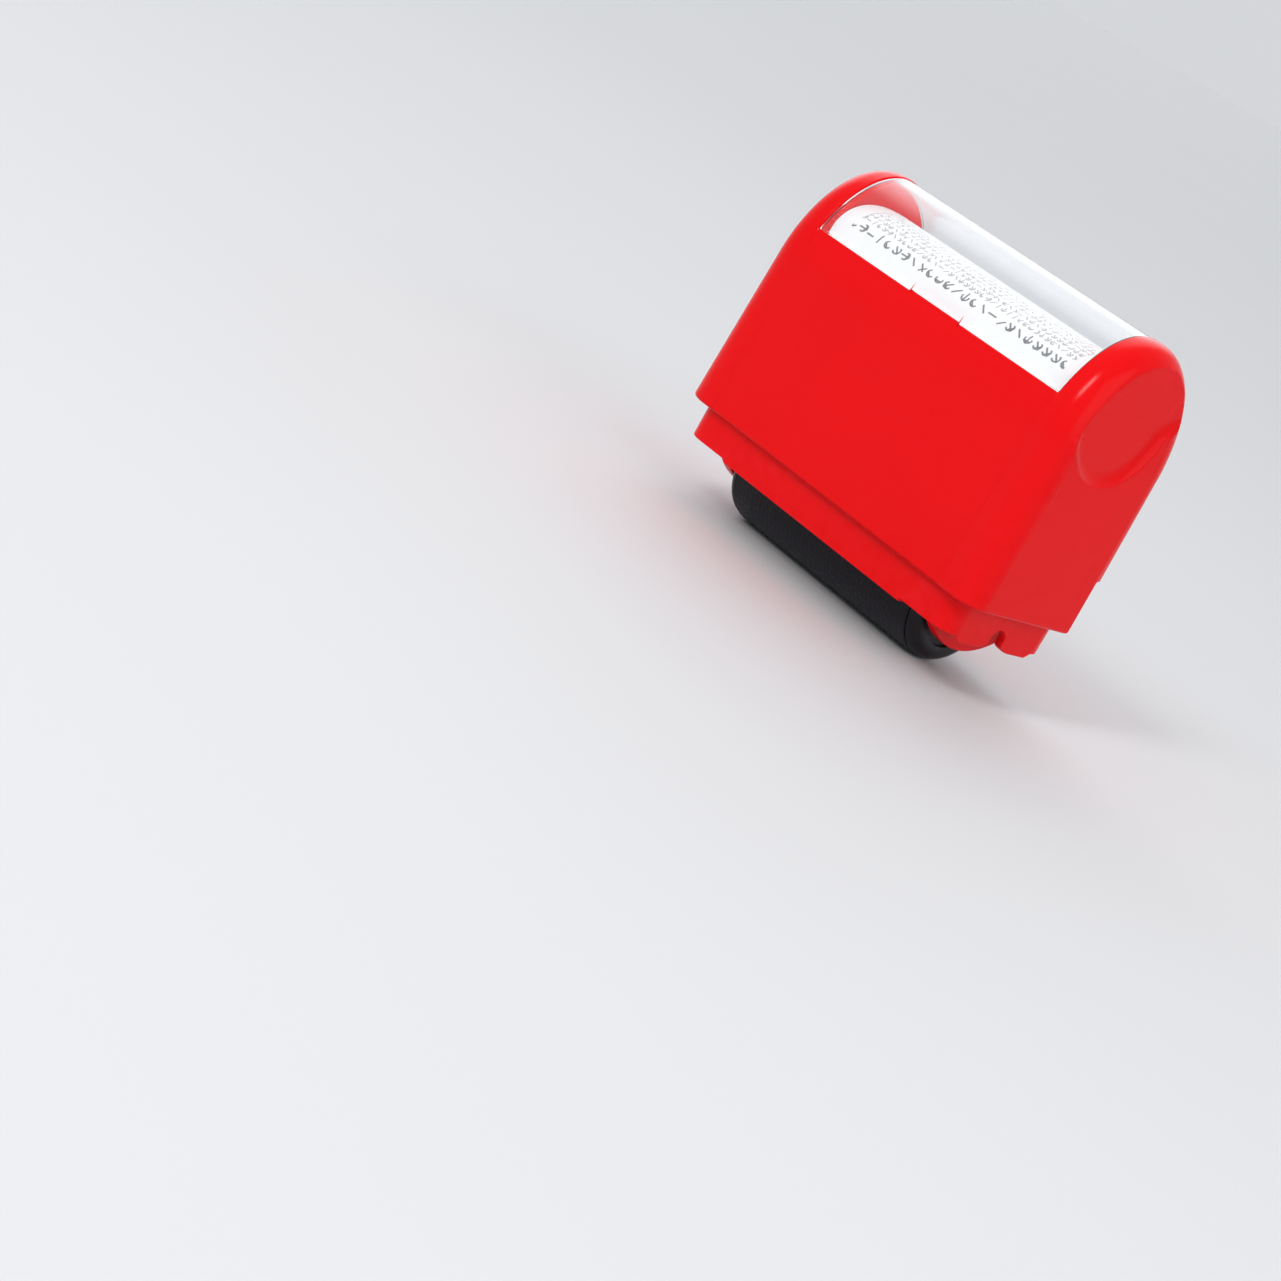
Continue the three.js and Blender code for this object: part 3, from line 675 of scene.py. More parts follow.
class Wiring:
    """Adds and joins the nodes of one tree."""

    def __init__(self, tree: bpy.types.NodeTree) -> None:
        """Starts with a tree.

        Args:
            tree: The node tree of a material, a world or a group.
        """
        self.tree = tree

    def node(
        self, kind: str, inputs: Mapping[str | int, object] | None = None, **settings: object
    ) -> bpy.types.Node:
        """Adds a node.

        Args:
            kind: The node's type.
            inputs: A value, or another node's socket, for each named or numbered input.
            **settings: The node's own settings.

        Returns:
            The new node.
        """
        node = self.tree.nodes.new(kind)
        for name, value in settings.items():
            setattr(node, name, value)
        for key, value in (inputs or {}).items():
            if isinstance(value, bpy.types.NodeSocket):
                self.tree.links.new(value, node.inputs[key])
            else:
                node.inputs[key].default_value = value
        return node

    def math(self, operation: str, first: object, second: object = 0.0) -> Socket:
        """Joins two values by an operation and gives the result."""
        return self.node("ShaderNodeMath", {0: first, 1: second}, operation=operation).outputs[0]

    def vector(self, operation: str, first: object, second: object = (0.0, 0.0, 0.0)) -> Socket:
        """Joins two vectors by an operation and gives the resulting vector."""
        return self.node(
            "ShaderNodeVectorMath", {0: first, 1: second}, operation=operation
        ).outputs[0]

    def length(self, vector: Socket) -> Socket:
        """Gives a vector's length."""
        return self.node("ShaderNodeVectorMath", {0: vector}, operation="LENGTH").outputs["Value"]

    def plus(self, first: object, second: object) -> Socket:
        """Adds two values."""
        return self.math("ADD", first, second)

    def minus(self, first: object, second: object) -> Socket:
        """Takes the second value from the first."""
        return self.math("SUBTRACT", first, second)

    def times(self, first: object, second: object) -> Socket:
        """Multiplies two values."""
        return self.math("MULTIPLY", first, second)

    def split(self, vector: Socket) -> tuple[Socket, Socket, Socket]:
        """Gives the three parts of a vector."""
        outputs = self.node("ShaderNodeSeparateXYZ", {0: vector}).outputs
        return outputs[0], outputs[1], outputs[2]

    def fade(self, value: Socket, start: float, stop: float) -> Socket:
        """Gives 0 where a value is at the start, 1 where it is at the stop, smoothly between."""
        return self.node(
            "ShaderNodeMapRange",
            {"Value": value, "From Min": start, "From Max": stop},
            interpolation_type="SMOOTHSTEP",
        ).outputs[0]

    def spread(self, value: Socket, low: float, high: float) -> Socket:
        """Spreads a value from 0 to 1 over a range."""
        return self.node(
            "ShaderNodeMapRange", {"Value": value, "To Min": low, "To Max": high}
        ).outputs[0]

    def between(self, value: Socket, low: float, high: float) -> Socket:
        """Gives 1 where a value lies between two others, and 0 elsewhere."""
        above = self.math("GREATER_THAN", value, low)
        return self.times(above, self.math("LESS_THAN", value, high))

    def blend(self, factor: object, first: object, second: object) -> Socket:
        """Gives a colour between two colours."""
        return self.node(
            "ShaderNodeMix", {0: factor, 6: first, 7: second}, data_type="RGBA"
        ).outputs[2]

    def noise(self, place: Socket, scale: object, detail: float = 3.0) -> Socket:
        """Gives a cloudy value from 0 to 1.

        Args:
            place: The coordinates.
            scale: Clouds in a metre.
            detail: How many finer layers are added.

        Returns:
            The value's socket.
        """
        return self.node(
            "ShaderNodeTexNoise", {"Vector": place, "Scale": scale, "Detail": detail}
        ).outputs[0]

    def mapped(
        self,
        place: Socket,
        shift: Sequence[float] = (0.0, 0.0, 0.0),
        scale: Sequence[float] = (1.0, 1.0, 1.0),
        turn: Sequence[float] = (0.0, 0.0, 0.0),
    ) -> Socket:
        """Scales, turns and moves coordinates."""
        return self.node(
            "ShaderNodeMapping",
            {"Vector": place, "Location": shift, "Rotation": turn, "Scale": scale},
        ).outputs[0]

    def bump(self, height: Socket, depth: float, strength: float = 1.0) -> Socket:
        """Gives the normal of a surface with a height pattern.

        Args:
            height: The pattern, from 0 to 1.
            depth: Its depth in millimetres.
            strength: How strongly it shows.

        Returns:
            The normal's socket.
        """
        return self.node(
            "ShaderNodeBump", {"Height": height, "Distance": depth * MM, "Strength": strength}
        ).outputs[0]


class Effect(ABC):
    """A shader node group that is built once and placed in each material that uses it."""

    name: str
    inputs: Mapping[str, tuple[str, object]]
    outputs: Mapping[str, str]

    def tree(self) -> bpy.types.NodeTree:
        """Gives the group, and builds it when it is first asked for."""
        found = bpy.data.node_groups.get(self.name)
        if found:
            return found
        tree = bpy.data.node_groups.new(self.name, "ShaderNodeTree")
        for name, (kind, value) in self.inputs.items():
            socket = tree.interface.new_socket(name, in_out="INPUT", socket_type=kind)
            if kind == "NodeSocketFloat":
                socket.default_value = value
        for name, kind in self.outputs.items():
            tree.interface.new_socket(name, in_out="OUTPUT", socket_type=kind)
        wiring = Wiring(tree)
        source = wiring.node("NodeGroupInput")
        wiring.node("NodeGroupOutput", self.fill(wiring, source))
        return tree

    @abstractmethod
    def fill(self, wiring: Wiring, source: bpy.types.Node) -> dict[str, Socket]:
        """Builds the inside of the group.

        Args:
            wiring: The group's tree.
            source: The node that holds the group's inputs.

        Returns:
            The socket that feeds each output.
        """

    def put(self, wiring: Wiring, values: Mapping[str, object]) -> bpy.types.Node:
        """Places the group in a tree with its own values."""
        return wiring.node("ShaderNodeGroup", node_tree=self.tree(), inputs=values)


class MouldedSkin(Effect):
    """The skin of moulded plastic: slow mottle, fine grain, and thin scuffs from use."""

    name = "moulded_skin"
    inputs = {
        "Place": ("NodeSocketVector", None),
        "Grain": ("NodeSocketFloat", 2600.0),
        "Scuffs": ("NodeSocketFloat", 0.3),
    }
    outputs = {"Mottle": "NodeSocketFloat", "Scuff": "NodeSocketFloat", "Height": "NodeSocketFloat"}

    mottle_scale = 55.0
    mottle_range = (0.3, 0.7)
    mottle_height = 0.5
    fine_height = 0.35
    scratches = ((0.5, 900.0), (-0.9, 1300.0))
    scratch_tilt = 0.4
    scratch_stretch = (1.0, 0.03, 1.0)
    scratch_range = (0.68, 0.76)
    patch_scale = 90.0
    patch_range = (0.5, 0.72)

    def fill(self, wiring: Wiring, source: bpy.types.Node) -> dict[str, Socket]:
        """Builds the inside of the group.

        Args:
            wiring: The group's tree.
            source: The node that holds the group's inputs.

        Returns:
            The socket that feeds each output.
        """
        place, grain, scuffs = source.outputs[0], source.outputs[1], source.outputs[2]
        mottle = wiring.fade(wiring.noise(place, self.mottle_scale, 2.0), *self.mottle_range)
        fine = wiring.noise(place, grain, 2.0)
        lines = []
        for turn, scale in self.scratches:
            turned = wiring.mapped(
                place, scale=self.scratch_stretch, turn=(turn, self.scratch_tilt, turn)
            )
            lines.append(wiring.fade(wiring.noise(turned, scale, 1.0), *self.scratch_range))
        patches = wiring.fade(wiring.noise(place, self.patch_scale, 2.0), *self.patch_range)
        line = wiring.math("MAXIMUM", lines[0], lines[1])
        scuff = wiring.times(wiring.times(line, patches), scuffs)
        sunk = wiring.minus(wiring.times(fine, self.fine_height), scuff)
        height = wiring.plus(sunk, wiring.times(mottle, self.mottle_height))
        return {"Mottle": mottle, "Scuff": scuff, "Height": height}


class RubbedEdgeAndHighlight(Effect):
    """A mask of the outer edges, broken up where handling has not reached them. The lightening it
    drives there is partly rubbed wear and partly a painted highlight.
    """

    name = "rubbed_edge_and_highlight"
    inputs = {"Place": ("NodeSocketVector", None), "Reach": ("NodeSocketFloat", 0.06)}
    outputs = {"Edge": "NodeSocketFloat"}

    level = 0.51
    break_scale = 500.0
    break_range = (0.35, 0.6)

    def fill(self, wiring: Wiring, source: bpy.types.Node) -> dict[str, Socket]:
        """Builds the inside of the group.

        Args:
            wiring: The group's tree.
            source: The node that holds the group's inputs.

        Returns:
            The socket that feeds the output.
        """
        # Pointiness picks the outer edges; lightening them is partly rubbed wear, partly a painted
        # highlight
        point = wiring.node("ShaderNodeNewGeometry").outputs["Pointiness"]
        over = wiring.minus(point, self.level)
        edge = wiring.node(
            "ShaderNodeMapRange", {"Value": over, "From Max": source.outputs[1]}
        ).outputs[0]
        patches = wiring.noise(source.outputs[0], self.break_scale, 3.0)
        broken = wiring.fade(patches, *self.break_range)
        return {"Edge": wiring.times(edge, broken)}


class MaskingMarks(Effect):
    """Rows of short random strokes and half rings, one in each cell, that hide what lies under."""

    name = "masking_marks"
    inputs = {"Cell": ("NodeSocketVector", None), "Stroke": ("NodeSocketFloat", 0.13)}
    outputs = {"Ink": "NodeSocketFloat"}

    # Lengths are in the marks' own unit. Each cell draws by chance whether it holds a bar, up to
    # one value, and a cross or a half ring, each from a value of its own on
    cell_width = 1.65
    eighths = 4.0
    bar_half = 0.72
    bar_up_to = 0.75
    cross_place = 0.3
    cross_half = 0.6
    cross_from = 0.4
    ring_radius = 0.55
    ring_side = 0.15
    ring_from = 0.5
    edge = (0.08, -0.06)
    away = 9.0

    def fill(self, wiring: Wiring, source: bpy.types.Node) -> dict[str, Socket]:
        """Builds the inside of the group.

        Args:
            wiring: The group's tree.
            source: The node that holds the group's inputs.

        Returns:
            The socket that feeds the output.
        """
        cell, stroke = source.outputs[0], source.outputs[1]
        chance = wiring.node(
            "ShaderNodeTexWhiteNoise", {"Vector": wiring.vector("FLOOR", cell)},
            noise_dimensions="2D",
        )
        turn, choice, ring_choice = wiring.split(chance.outputs["Color"])
        inside = wiring.vector("SUBTRACT", wiring.vector("FRACTION", cell), (0.5, 0.5, 0.0))
        inside = wiring.vector("MULTIPLY", inside, (self.cell_width, self.cell_width, 0.0))
        eighth = wiring.math("FLOOR", wiring.times(turn, self.eighths))
        turned = wiring.node(
            "ShaderNodeVectorRotate",
            {"Vector": inside, "Angle": wiring.times(eighth, math.pi / 4)},
            rotation_type="Z_AXIS",
        ).outputs[0]
        across, up, _ = wiring.split(turned)
        wide = wiring.math("ABSOLUTE", across)
        tall = wiring.math("ABSOLUTE", up)
        bar = wiring.math(
            "MAXIMUM",
            wiring.minus(wide, self.bar_half),
            wiring.minus(tall, stroke),
        )
        aside = wiring.math("ABSOLUTE", wiring.minus(across, self.cross_place))
        cross = wiring.math(
            "MAXIMUM",
            wiring.minus(aside, stroke),
            wiring.minus(tall, self.cross_half),
        )
        radius = wiring.length(inside)
        band = wiring.math("ABSOLUTE", wiring.minus(radius, self.ring_radius))
        ring = wiring.math(
            "MAXIMUM",
            wiring.minus(band, stroke),
            wiring.minus(wiring.times(across, -1.0), self.ring_side),
        )
        no_bar = wiring.math("GREATER_THAN", choice, self.bar_up_to)
        no_cross = wiring.math("LESS_THAN", choice, self.cross_from)
        no_ring = wiring.math("LESS_THAN", ring_choice, self.ring_from)
        without_bar, without_cross, without_ring = (
            wiring.times(none, self.away) for none in (no_bar, no_cross, no_ring)
        )
        nearest = wiring.math(
            "MINIMUM",
            wiring.plus(bar, without_bar),
            wiring.math(
                "MINIMUM",
                wiring.plus(cross, without_cross),
                wiring.plus(ring, without_ring),
            ),
        )
        return {"Ink": wiring.fade(nearest, *self.edge)}


@dataclass(frozen=True)
class Finish(ABC):
    """A finish: the material of some of the pieces, and the name of the slot that it stands for."""

    name: str
    slot: str

    def material(self) -> bpy.types.Material:
        """Gives the material, and builds it when it is first asked for."""
        found = bpy.data.materials.get(self.name)
        if found:
            return found
        material = bpy.data.materials.new(self.name)
        material.use_nodes = True
        material.node_tree.nodes.clear()
        wiring = Wiring(material.node_tree)
        place = wiring.node("ShaderNodeTexCoord").outputs["Object"]
        surface = self.surface(wiring, place)
        wiring.node("ShaderNodeOutputMaterial", {"Surface": surface})
        return material

    @abstractmethod
    def surface(self, wiring: Wiring, place: Socket) -> Socket:
        """Builds the nodes of the finish.

        Args:
            wiring: The material's tree.
            place: The piece's own coordinates in metres.

        Returns:
            The shader's socket.
        """

    @staticmethod
    def shader(wiring: Wiring, inputs: Mapping[str, object]) -> Socket:
        """Adds the shader of the surface with its values and gives its socket."""
        return wiring.node("ShaderNodeBsdfPrincipled", inputs).outputs[0]


@dataclass(frozen=True)
class Moulded(Finish):
    """Moulded plastic in one colour, with slow mottle, fine grain, scuffs, and outer edges
    lightened partly as rubbed wear and partly as a painted highlight.
    """

    colour: Colour = (0.8, 0.8, 0.8, 1.0)
    shade: Colour = (0.7, 0.7, 0.7, 1.0)
    # Lighter colour of the outer edges: partly rubbed wear, partly a painted highlight
    rubbed_and_highlit: Colour = (0.9, 0.9, 0.9, 1.0)
    smooth: float = 0.16
    dull: float = 0.24
    specular: float = 0.5
    grain: float = 2600.0
    scuffs: float = 0.3
    depth: float = 0.012
    wear_and_highlight: float = 0.5
    scuff_dull: float = 0.35

    def surface(self, wiring: Wiring, place: Socket) -> Socket:
        """Builds the nodes of the finish.

        Args:
            wiring: The material's tree.
            place: The piece's own coordinates in metres.

        Returns:
            The shader's socket.
        """
        skin = MouldedSkin().put(
            wiring, {"Place": place, "Grain": self.grain, "Scuffs": self.scuffs}
        )
        edge = RubbedEdgeAndHighlight().put(wiring, {"Place": place}).outputs[0]
        base = wiring.blend(skin.outputs["Mottle"], self.colour, self.shade)
        # Outer edges are lightened toward that colour: partly rubbed wear, partly a painted
        # highlight
        worn_and_highlit = wiring.times(edge, self.wear_and_highlight)
        colour = wiring.blend(worn_and_highlit, base, self.rubbed_and_highlit)
        sheen = wiring.spread(skin.outputs["Mottle"], self.smooth, self.dull)
        dulled = wiring.times(skin.outputs["Scuff"], self.scuff_dull)
        return self.shader(wiring, {
            "Base Color": colour,
            "Roughness": wiring.plus(sheen, dulled),
            "Specular IOR Level": self.specular,
            "Normal": wiring.bump(skin.outputs["Height"], self.depth),
        })


@dataclass(frozen=True)
class ClearPlastic(Finish):
    """Clear moulded plastic that lets lamplight through to the card under it."""

    index: float = 1.49
    tints: tuple[Colour, Colour] = ((0.995, 0.997, 1.0, 1.0), (0.98, 0.988, 0.995, 1.0))
    shadow: Colour = (0.985, 0.99, 0.995, 1.0)
    grain: float = 900.0
    scuffs: float = 0.25
    smooth: float = 0.02
    scuff_dull: float = 0.3
    depth: float = 0.004

    def surface(self, wiring: Wiring, place: Socket) -> Socket:
        """Builds the nodes of the finish.

        Args:
            wiring: The material's tree.
            place: The piece's own coordinates in metres.

        Returns:
            The shader's socket.
        """
        skin = MouldedSkin().put(
            wiring, {"Place": place, "Grain": self.grain, "Scuffs": self.scuffs}
        )
        haze = wiring.times(skin.outputs["Scuff"], self.scuff_dull)
        clear = self.shader(wiring, {
            "Base Color": wiring.blend(skin.outputs["Mottle"], *self.tints),
            "Roughness": wiring.plus(haze, self.smooth),
            "Transmission Weight": 1.0,
            "IOR": self.index,
            "Normal": wiring.bump(skin.outputs["Height"], self.depth),
        })
        through = wiring.node("ShaderNodeBsdfTransparent", {"Color": self.shadow})
        path = wiring.node("ShaderNodeLightPath").outputs
        lamp = wiring.math("MAXIMUM", path["Is Shadow Ray"], path["Is Diffuse Ray"])
        return wiring.node(
            "ShaderNodeMixShader", {0: lamp, 1: clear, 2: through.outputs[0]}
        ).outputs[0]


@dataclass(frozen=True)
class PrintedCard(Finish):
    """White card with one row of larger masking marks and rows of small pale ones behind it. The
    small rows fade out toward the crown as a painted highlight of the lens.
    """

    length: float = 47.9
    girth: float = 26.0
    margin: float = 2.3
    large: Pair = (1.8, 1.8)
    small: Pair = (1.08, 1.2)
    sides: Pair = (0.055, 0.965)
    strokes: Pair = (0.105, 0.14)
    row_gap: float = 0.3
    rows: float = 16.0
    # Rows over which the small marks fade out toward the crown: a painted highlight
    wear_and_highlight: Pair = (15.0, -3.0)
    paleness: float = 0.7
    press: Pair = (0.75, 1.0)
    papers: tuple[Colour, Colour] = ((0.93, 0.93, 0.925, 1.0), (0.96, 0.96, 0.955, 1.0))
    ink: Colour = (0.05, 0.05, 0.057, 1.0)

    def surface(self, wiring: Wiring, place: Socket) -> Socket:
        """Builds the nodes of the finish.

        Args:
            wiring: The material's tree.
            place: The piece's own coordinates in metres.

        Returns:
            The shader's socket.
        """
        flat = wiring.node("ShaderNodeUVMap", uv_map="card").outputs[0]
        start = -self.margin
        large = wiring.mapped(
            flat,
            (0.0, start / self.large[1], 0.0),
            (self.length / self.large[0], self.girth / self.large[1], 1.0),
        )
        small_start = (start - self.large[1] - self.row_gap) / self.small[1]
        small = wiring.mapped(
            flat,
            (0.0, small_start, 0.0),
            (self.length / self.small[0], self.girth / self.small[1], 1.0),
        )
        heavy, light = (
            MaskingMarks().put(wiring, {"Cell": cell, "Stroke": stroke}).outputs[0]
            for cell, stroke in zip((large, small), self.strokes)
        )
        along, _, _ = wiring.split(flat)
        _, row, _ = wiring.split(large)
        _, rows, _ = wiring.split(small)
        first = wiring.between(row, 0.0, 1.0)
        behind = wiring.between(rows, 0.0, self.rows)
        printed = wiring.between(along, *self.sides)
        press = wiring.spread(wiring.noise(place, 700.0, 2.0), *self.press)
        dark = wiring.times(heavy, first)
        # Painted highlight: the small marks fade out toward the crown
        worn_and_highlit = wiring.times(behind, wiring.fade(rows, *self.wear_and_highlight))
        pale = wiring.times(wiring.times(light, worn_and_highlit), self.paleness)
        ink = wiring.times(wiring.math("MAXIMUM", dark, pale), press)
        ink = wiring.times(ink, printed)
        fibre = wiring.noise(place, 2400.0, 4.0)
        paper = wiring.blend(fibre, *self.papers)
        return self.shader(wiring, {
            "Base Color": wiring.blend(ink, paper, self.ink),
            "Roughness": wiring.spread(fibre, 0.6, 0.8),
            "Specular IOR Level": 0.3,
            "Normal": wiring.bump(fibre, 0.01),
        })


@dataclass(frozen=True)
class InkedRubber(Finish):
    """Dark rubber whose raised masking marks stand out round the roller, wet with ink."""

    radius: float = 8.6
    height: float = ROLLER_HEIGHT
    rows: int = 47
    cell: float = 0.92
    stroke: float = 0.16
    skin: Pair = (0.5, 0.3)
    grounds: tuple[Colour, Colour] = (
        (0.005, 0.0042, 0.0065, 1.0), (0.011, 0.0095, 0.0145, 1.0)
    )
    wet: Colour = (0.003, 0.0026, 0.0042, 1.0)
    dust: Colour = (0.07, 0.064, 0.085, 1.0)
    dust_weight: float = 0.22
    wet_gloss: float = -0.2
    film_height: float = 0.25

    def surface(self, wiring: Wiring, place: Socket) -> Socket:
        """Builds the nodes of the finish.

        Args:
            wiring: The material's tree.
            place: The piece's own coordinates in metres.

        Returns:
            The shader's socket.
        """
        centred = wiring.mapped(place, (0.0, 0.0, -self.height * MM))
        along, across, up = wiring.split(centred)
        turn = wiring.math("ARCTAN2", across, wiring.times(up, -1.0))
        cell = wiring.node("ShaderNodeCombineXYZ", {
            0: wiring.times(along, 1 / (self.cell * MM)),
            1: wiring.times(turn, self.rows / (2 * math.pi)),
        }).outputs[0]
        raised = MaskingMarks().put(wiring, {"Cell": cell, "Stroke": self.stroke}).outputs[0]
        outward = wiring.length(wiring.vector("MULTIPLY", centred, (0.0, 1.0, 1.0)))
        inner, outer = ((self.radius - depth) * MM for depth in self.skin)
        outside = wiring.fade(outward, inner, outer)
        marks = wiring.times(raised, outside)
        film = wiring.noise(place, 420.0, 3.0)
        dust = wiring.fade(wiring.noise(place, 3600.0, 2.0), 0.6, 0.78)
        inked = wiring.blend(marks, wiring.blend(film, *self.grounds), self.wet)
        speck = wiring.times(dust, self.dust_weight)
        gloss = wiring.times(marks, self.wet_gloss)
        height = wiring.plus(marks, wiring.times(film, self.film_height))
        return self.shader(wiring, {
            "Base Color": wiring.blend(speck, inked, self.dust),
            "Roughness": wiring.plus(wiring.spread(film, 0.42, 0.58), gloss),
            "Specular IOR Level": 0.24,
            "Sheen Weight": 0.05,
            "Sheen Tint": (0.72, 0.7, 0.95, 1.0),
            "Normal": wiring.bump(height, 0.09, 0.7),
        })


@dataclass(frozen=True)
class Porous(Finish):
    """Foam or felt: open pores or matted fibres, deep colour and hardly any gloss. The colour is
    darker in the pores and between the fibres as painted shade, and darker where ink has soaked in.
    """

    colour: Colour = (0.01, 0.009, 0.014, 1.0)
    # Lighter colour of the raised cell walls and fibres; the recesses keep the darker colour as
    # painted shade
    raised: Colour = (0.03, 0.028, 0.04, 1.0)
    grain: float = 1900.0
    fibres: float = 0.0
    depth: float = 0.15

    def surface(self, wiring: Wiring, place: Socket) -> Socket:
        """Builds the nodes of the finish.

        Args:
            wiring: The material's tree.
            place: The piece's own coordinates in metres.

        Returns:
            The shader's socket.
        """
        pores = wiring.node(
            "ShaderNodeTexVoronoi", {"Vector": place, "Scale": self.grain},
            feature="DISTANCE_TO_EDGE",
        ).outputs["Distance"]
        open_pore = wiring.fade(pores, 0.28, 0.05)
        drawn = wiring.mapped(place, scale=(1.0, 0.12, 0.3))
        strands = wiring.noise(drawn, self.grain * 2.2, 4.0)
        weight = wiring.times(strands, self.fibres)
        height = wiring.math(
            "ADD", wiring.times(open_pore, 1.0 - self.fibres), weight
        )
        soaked = wiring.fade(wiring.noise(place, 160.0, 2.0), 0.35, 0.7)
        # Painted shade: the pores and the gaps between fibres are darker, and so are patches soaked
        # with ink
        pore_shade_and_soak = wiring.times(height, wiring.spread(soaked, 0.35, 1.0))
        return self.shader(wiring, {
            "Base Color": wiring.blend(pore_shade_and_soak, self.colour, self.raised),
            "Roughness": wiring.spread(soaked, 0.78, 1.0),
            "Specular IOR Level": 0.25,
            "Sheen Weight": 0.2,
            "Normal": wiring.bump(height, self.depth, 0.8),
        })


@dataclass(frozen=True)
class TurnedSteel(Finish):
    """Bright steel with fine turning lines round its axis and a few specks of ink."""

    bare: tuple[Colour, Colour] = ((0.55, 0.56, 0.58, 1.0), (0.68, 0.69, 0.7, 1.0))
    ink: Colour = (0.05, 0.048, 0.06, 1.0)
    ink_weight: float = 0.55
    ink_dull: float = 0.2

    def surface(self, wiring: Wiring, place: Socket) -> Socket:
        """Builds the nodes of the finish.

        Args:
            wiring: The material's tree.
            place: The piece's own coordinates in metres.

        Returns:
            The shader's socket.
        """
        lines = wiring.noise(wiring.mapped(place, scale=(1.0, 0.02, 0.02)), 9000.0, 2.0)
        stain = wiring.fade(wiring.noise(place, 650.0, 3.0), 0.6, 0.75)
        inked = wiring.times(stain, self.ink_weight)
        dull = wiring.times(stain, self.ink_dull)
        return self.shader(wiring, {
            "Base Color": wiring.blend(inked, wiring.blend(lines, *self.bare), self.ink),
            "Metallic": wiring.minus(1.0, inked),
            "Roughness": wiring.plus(wiring.spread(lines, 0.2, 0.34), dull),
            "Normal": wiring.bump(lines, 0.006),
        })


# In each moulded finish below, the rubbed colour is what the outer edges lighten to: partly rubbed
# wear, partly a painted highlight
RED_PLASTIC = Moulded(
    "red_gloss_plastic",
    "red_plastic",
    colour=(0.83, 0.0014, 0.0032, 1.0),
    shade=(0.805, 0.0012, 0.0028, 1.0),
    rubbed_and_highlit=(0.86, 0.01, 0.016, 1.0),
    smooth=0.16,
    dull=0.19,
    specular=0.12,
    scuffs=0.1,
    depth=0.003,
)
TANK_PLASTIC = Moulded(
    "tank_plastic",
    "tank_plastic",
    colour=(0.022, 0.02, 0.028, 1.0),
    shade=(0.015, 0.014, 0.02, 1.0),
    rubbed_and_highlit=(0.07, 0.068, 0.08, 1.0),
    smooth=0.3,
    dull=0.42,
    grain=3400.0,
)
BLACK_PLASTIC = Moulded(
    "satin_black_plastic",
    "black_plastic",
    colour=(0.0065, 0.006, 0.0085, 1.0),
    shade=(0.009, 0.0082, 0.0115, 1.0),
    rubbed_and_highlit=(0.04, 0.037, 0.048, 1.0),
    smooth=0.28,
    dull=0.4,
    specular=0.25,
    grain=3000.0,
    depth=0.02,
)
NYLON = Moulded(
    "bearing_nylon",
    "nylon",
    colour=(0.72, 0.7, 0.63, 1.0),
    shade=(0.66, 0.64, 0.57, 1.0),
    rubbed_and_highlit=(0.78, 0.77, 0.72, 1.0),
    smooth=0.4,
    dull=0.52,
)
PLUG_RUBBER = Moulded(
    "plug_rubber",
    "plug_rubber",
    colour=(0.045, 0.044, 0.05, 1.0),
    shade=(0.035, 0.034, 0.04, 1.0),
    rubbed_and_highlit=(0.09, 0.088, 0.095, 1.0),
    smooth=0.6,
    dull=0.75,
    specular=0.35,
    grain=5200.0,
    depth=0.02,
)
CLEAR_PLASTIC = ClearPlastic("clear_window_plastic", "clear_plastic")
INKED_RUBBER = InkedRubber("inked_rubber", "die_rubber")
STEEL = TurnedSteel("turned_steel", "steel")
FOAM = Porous("ink_foam", "foam")
FELT = Porous(
    "ink_felt",
    "felt",
    colour=(0.014, 0.012, 0.02, 1.0),
    raised=(0.05, 0.046, 0.062, 1.0),
    grain=1500.0,
    fibres=0.9,
    depth=0.2,
)


def hand_over(piece: Piece, finish: Finish, body: Body, *nodes: str) -> Piece:
    """Gives a finished piece its material and its body, hides the CAD nodes that it stands for and
    logs how far it reaches past their box.

    Args:
        piece: The finished piece.
        finish: Its finish.
        body: The moving body that it rides on.
        *nodes: The CAD nodes that it replaces.

    Returns:
        The same piece.
    """
    piece.data.materials.clear()
    piece.data.materials.append(finish.material())
    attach(piece, body.value)
    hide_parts(*nodes)
    corners = [point.co for point in piece.data.vertices]
    low = [min(corner[axis] for corner in corners) for axis in range(3)]
    high = [max(corner[axis] for corner in corners) for axis in range(3)]
    boxes = [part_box(node) for node in nodes]
    gap = max(
        max(min(box[0][axis] for box in boxes) - low[axis] for axis in range(3)),
        max(high[axis] - max(box[1][axis] for box in boxes) for axis in range(3)),
    )
    LOG.info(
        "%s: %d faces, rides on %s, %+.3f mm past its node's box",
        piece.name, len(piece.data.polygons), body.value, gap / MM,
    )
    return piece


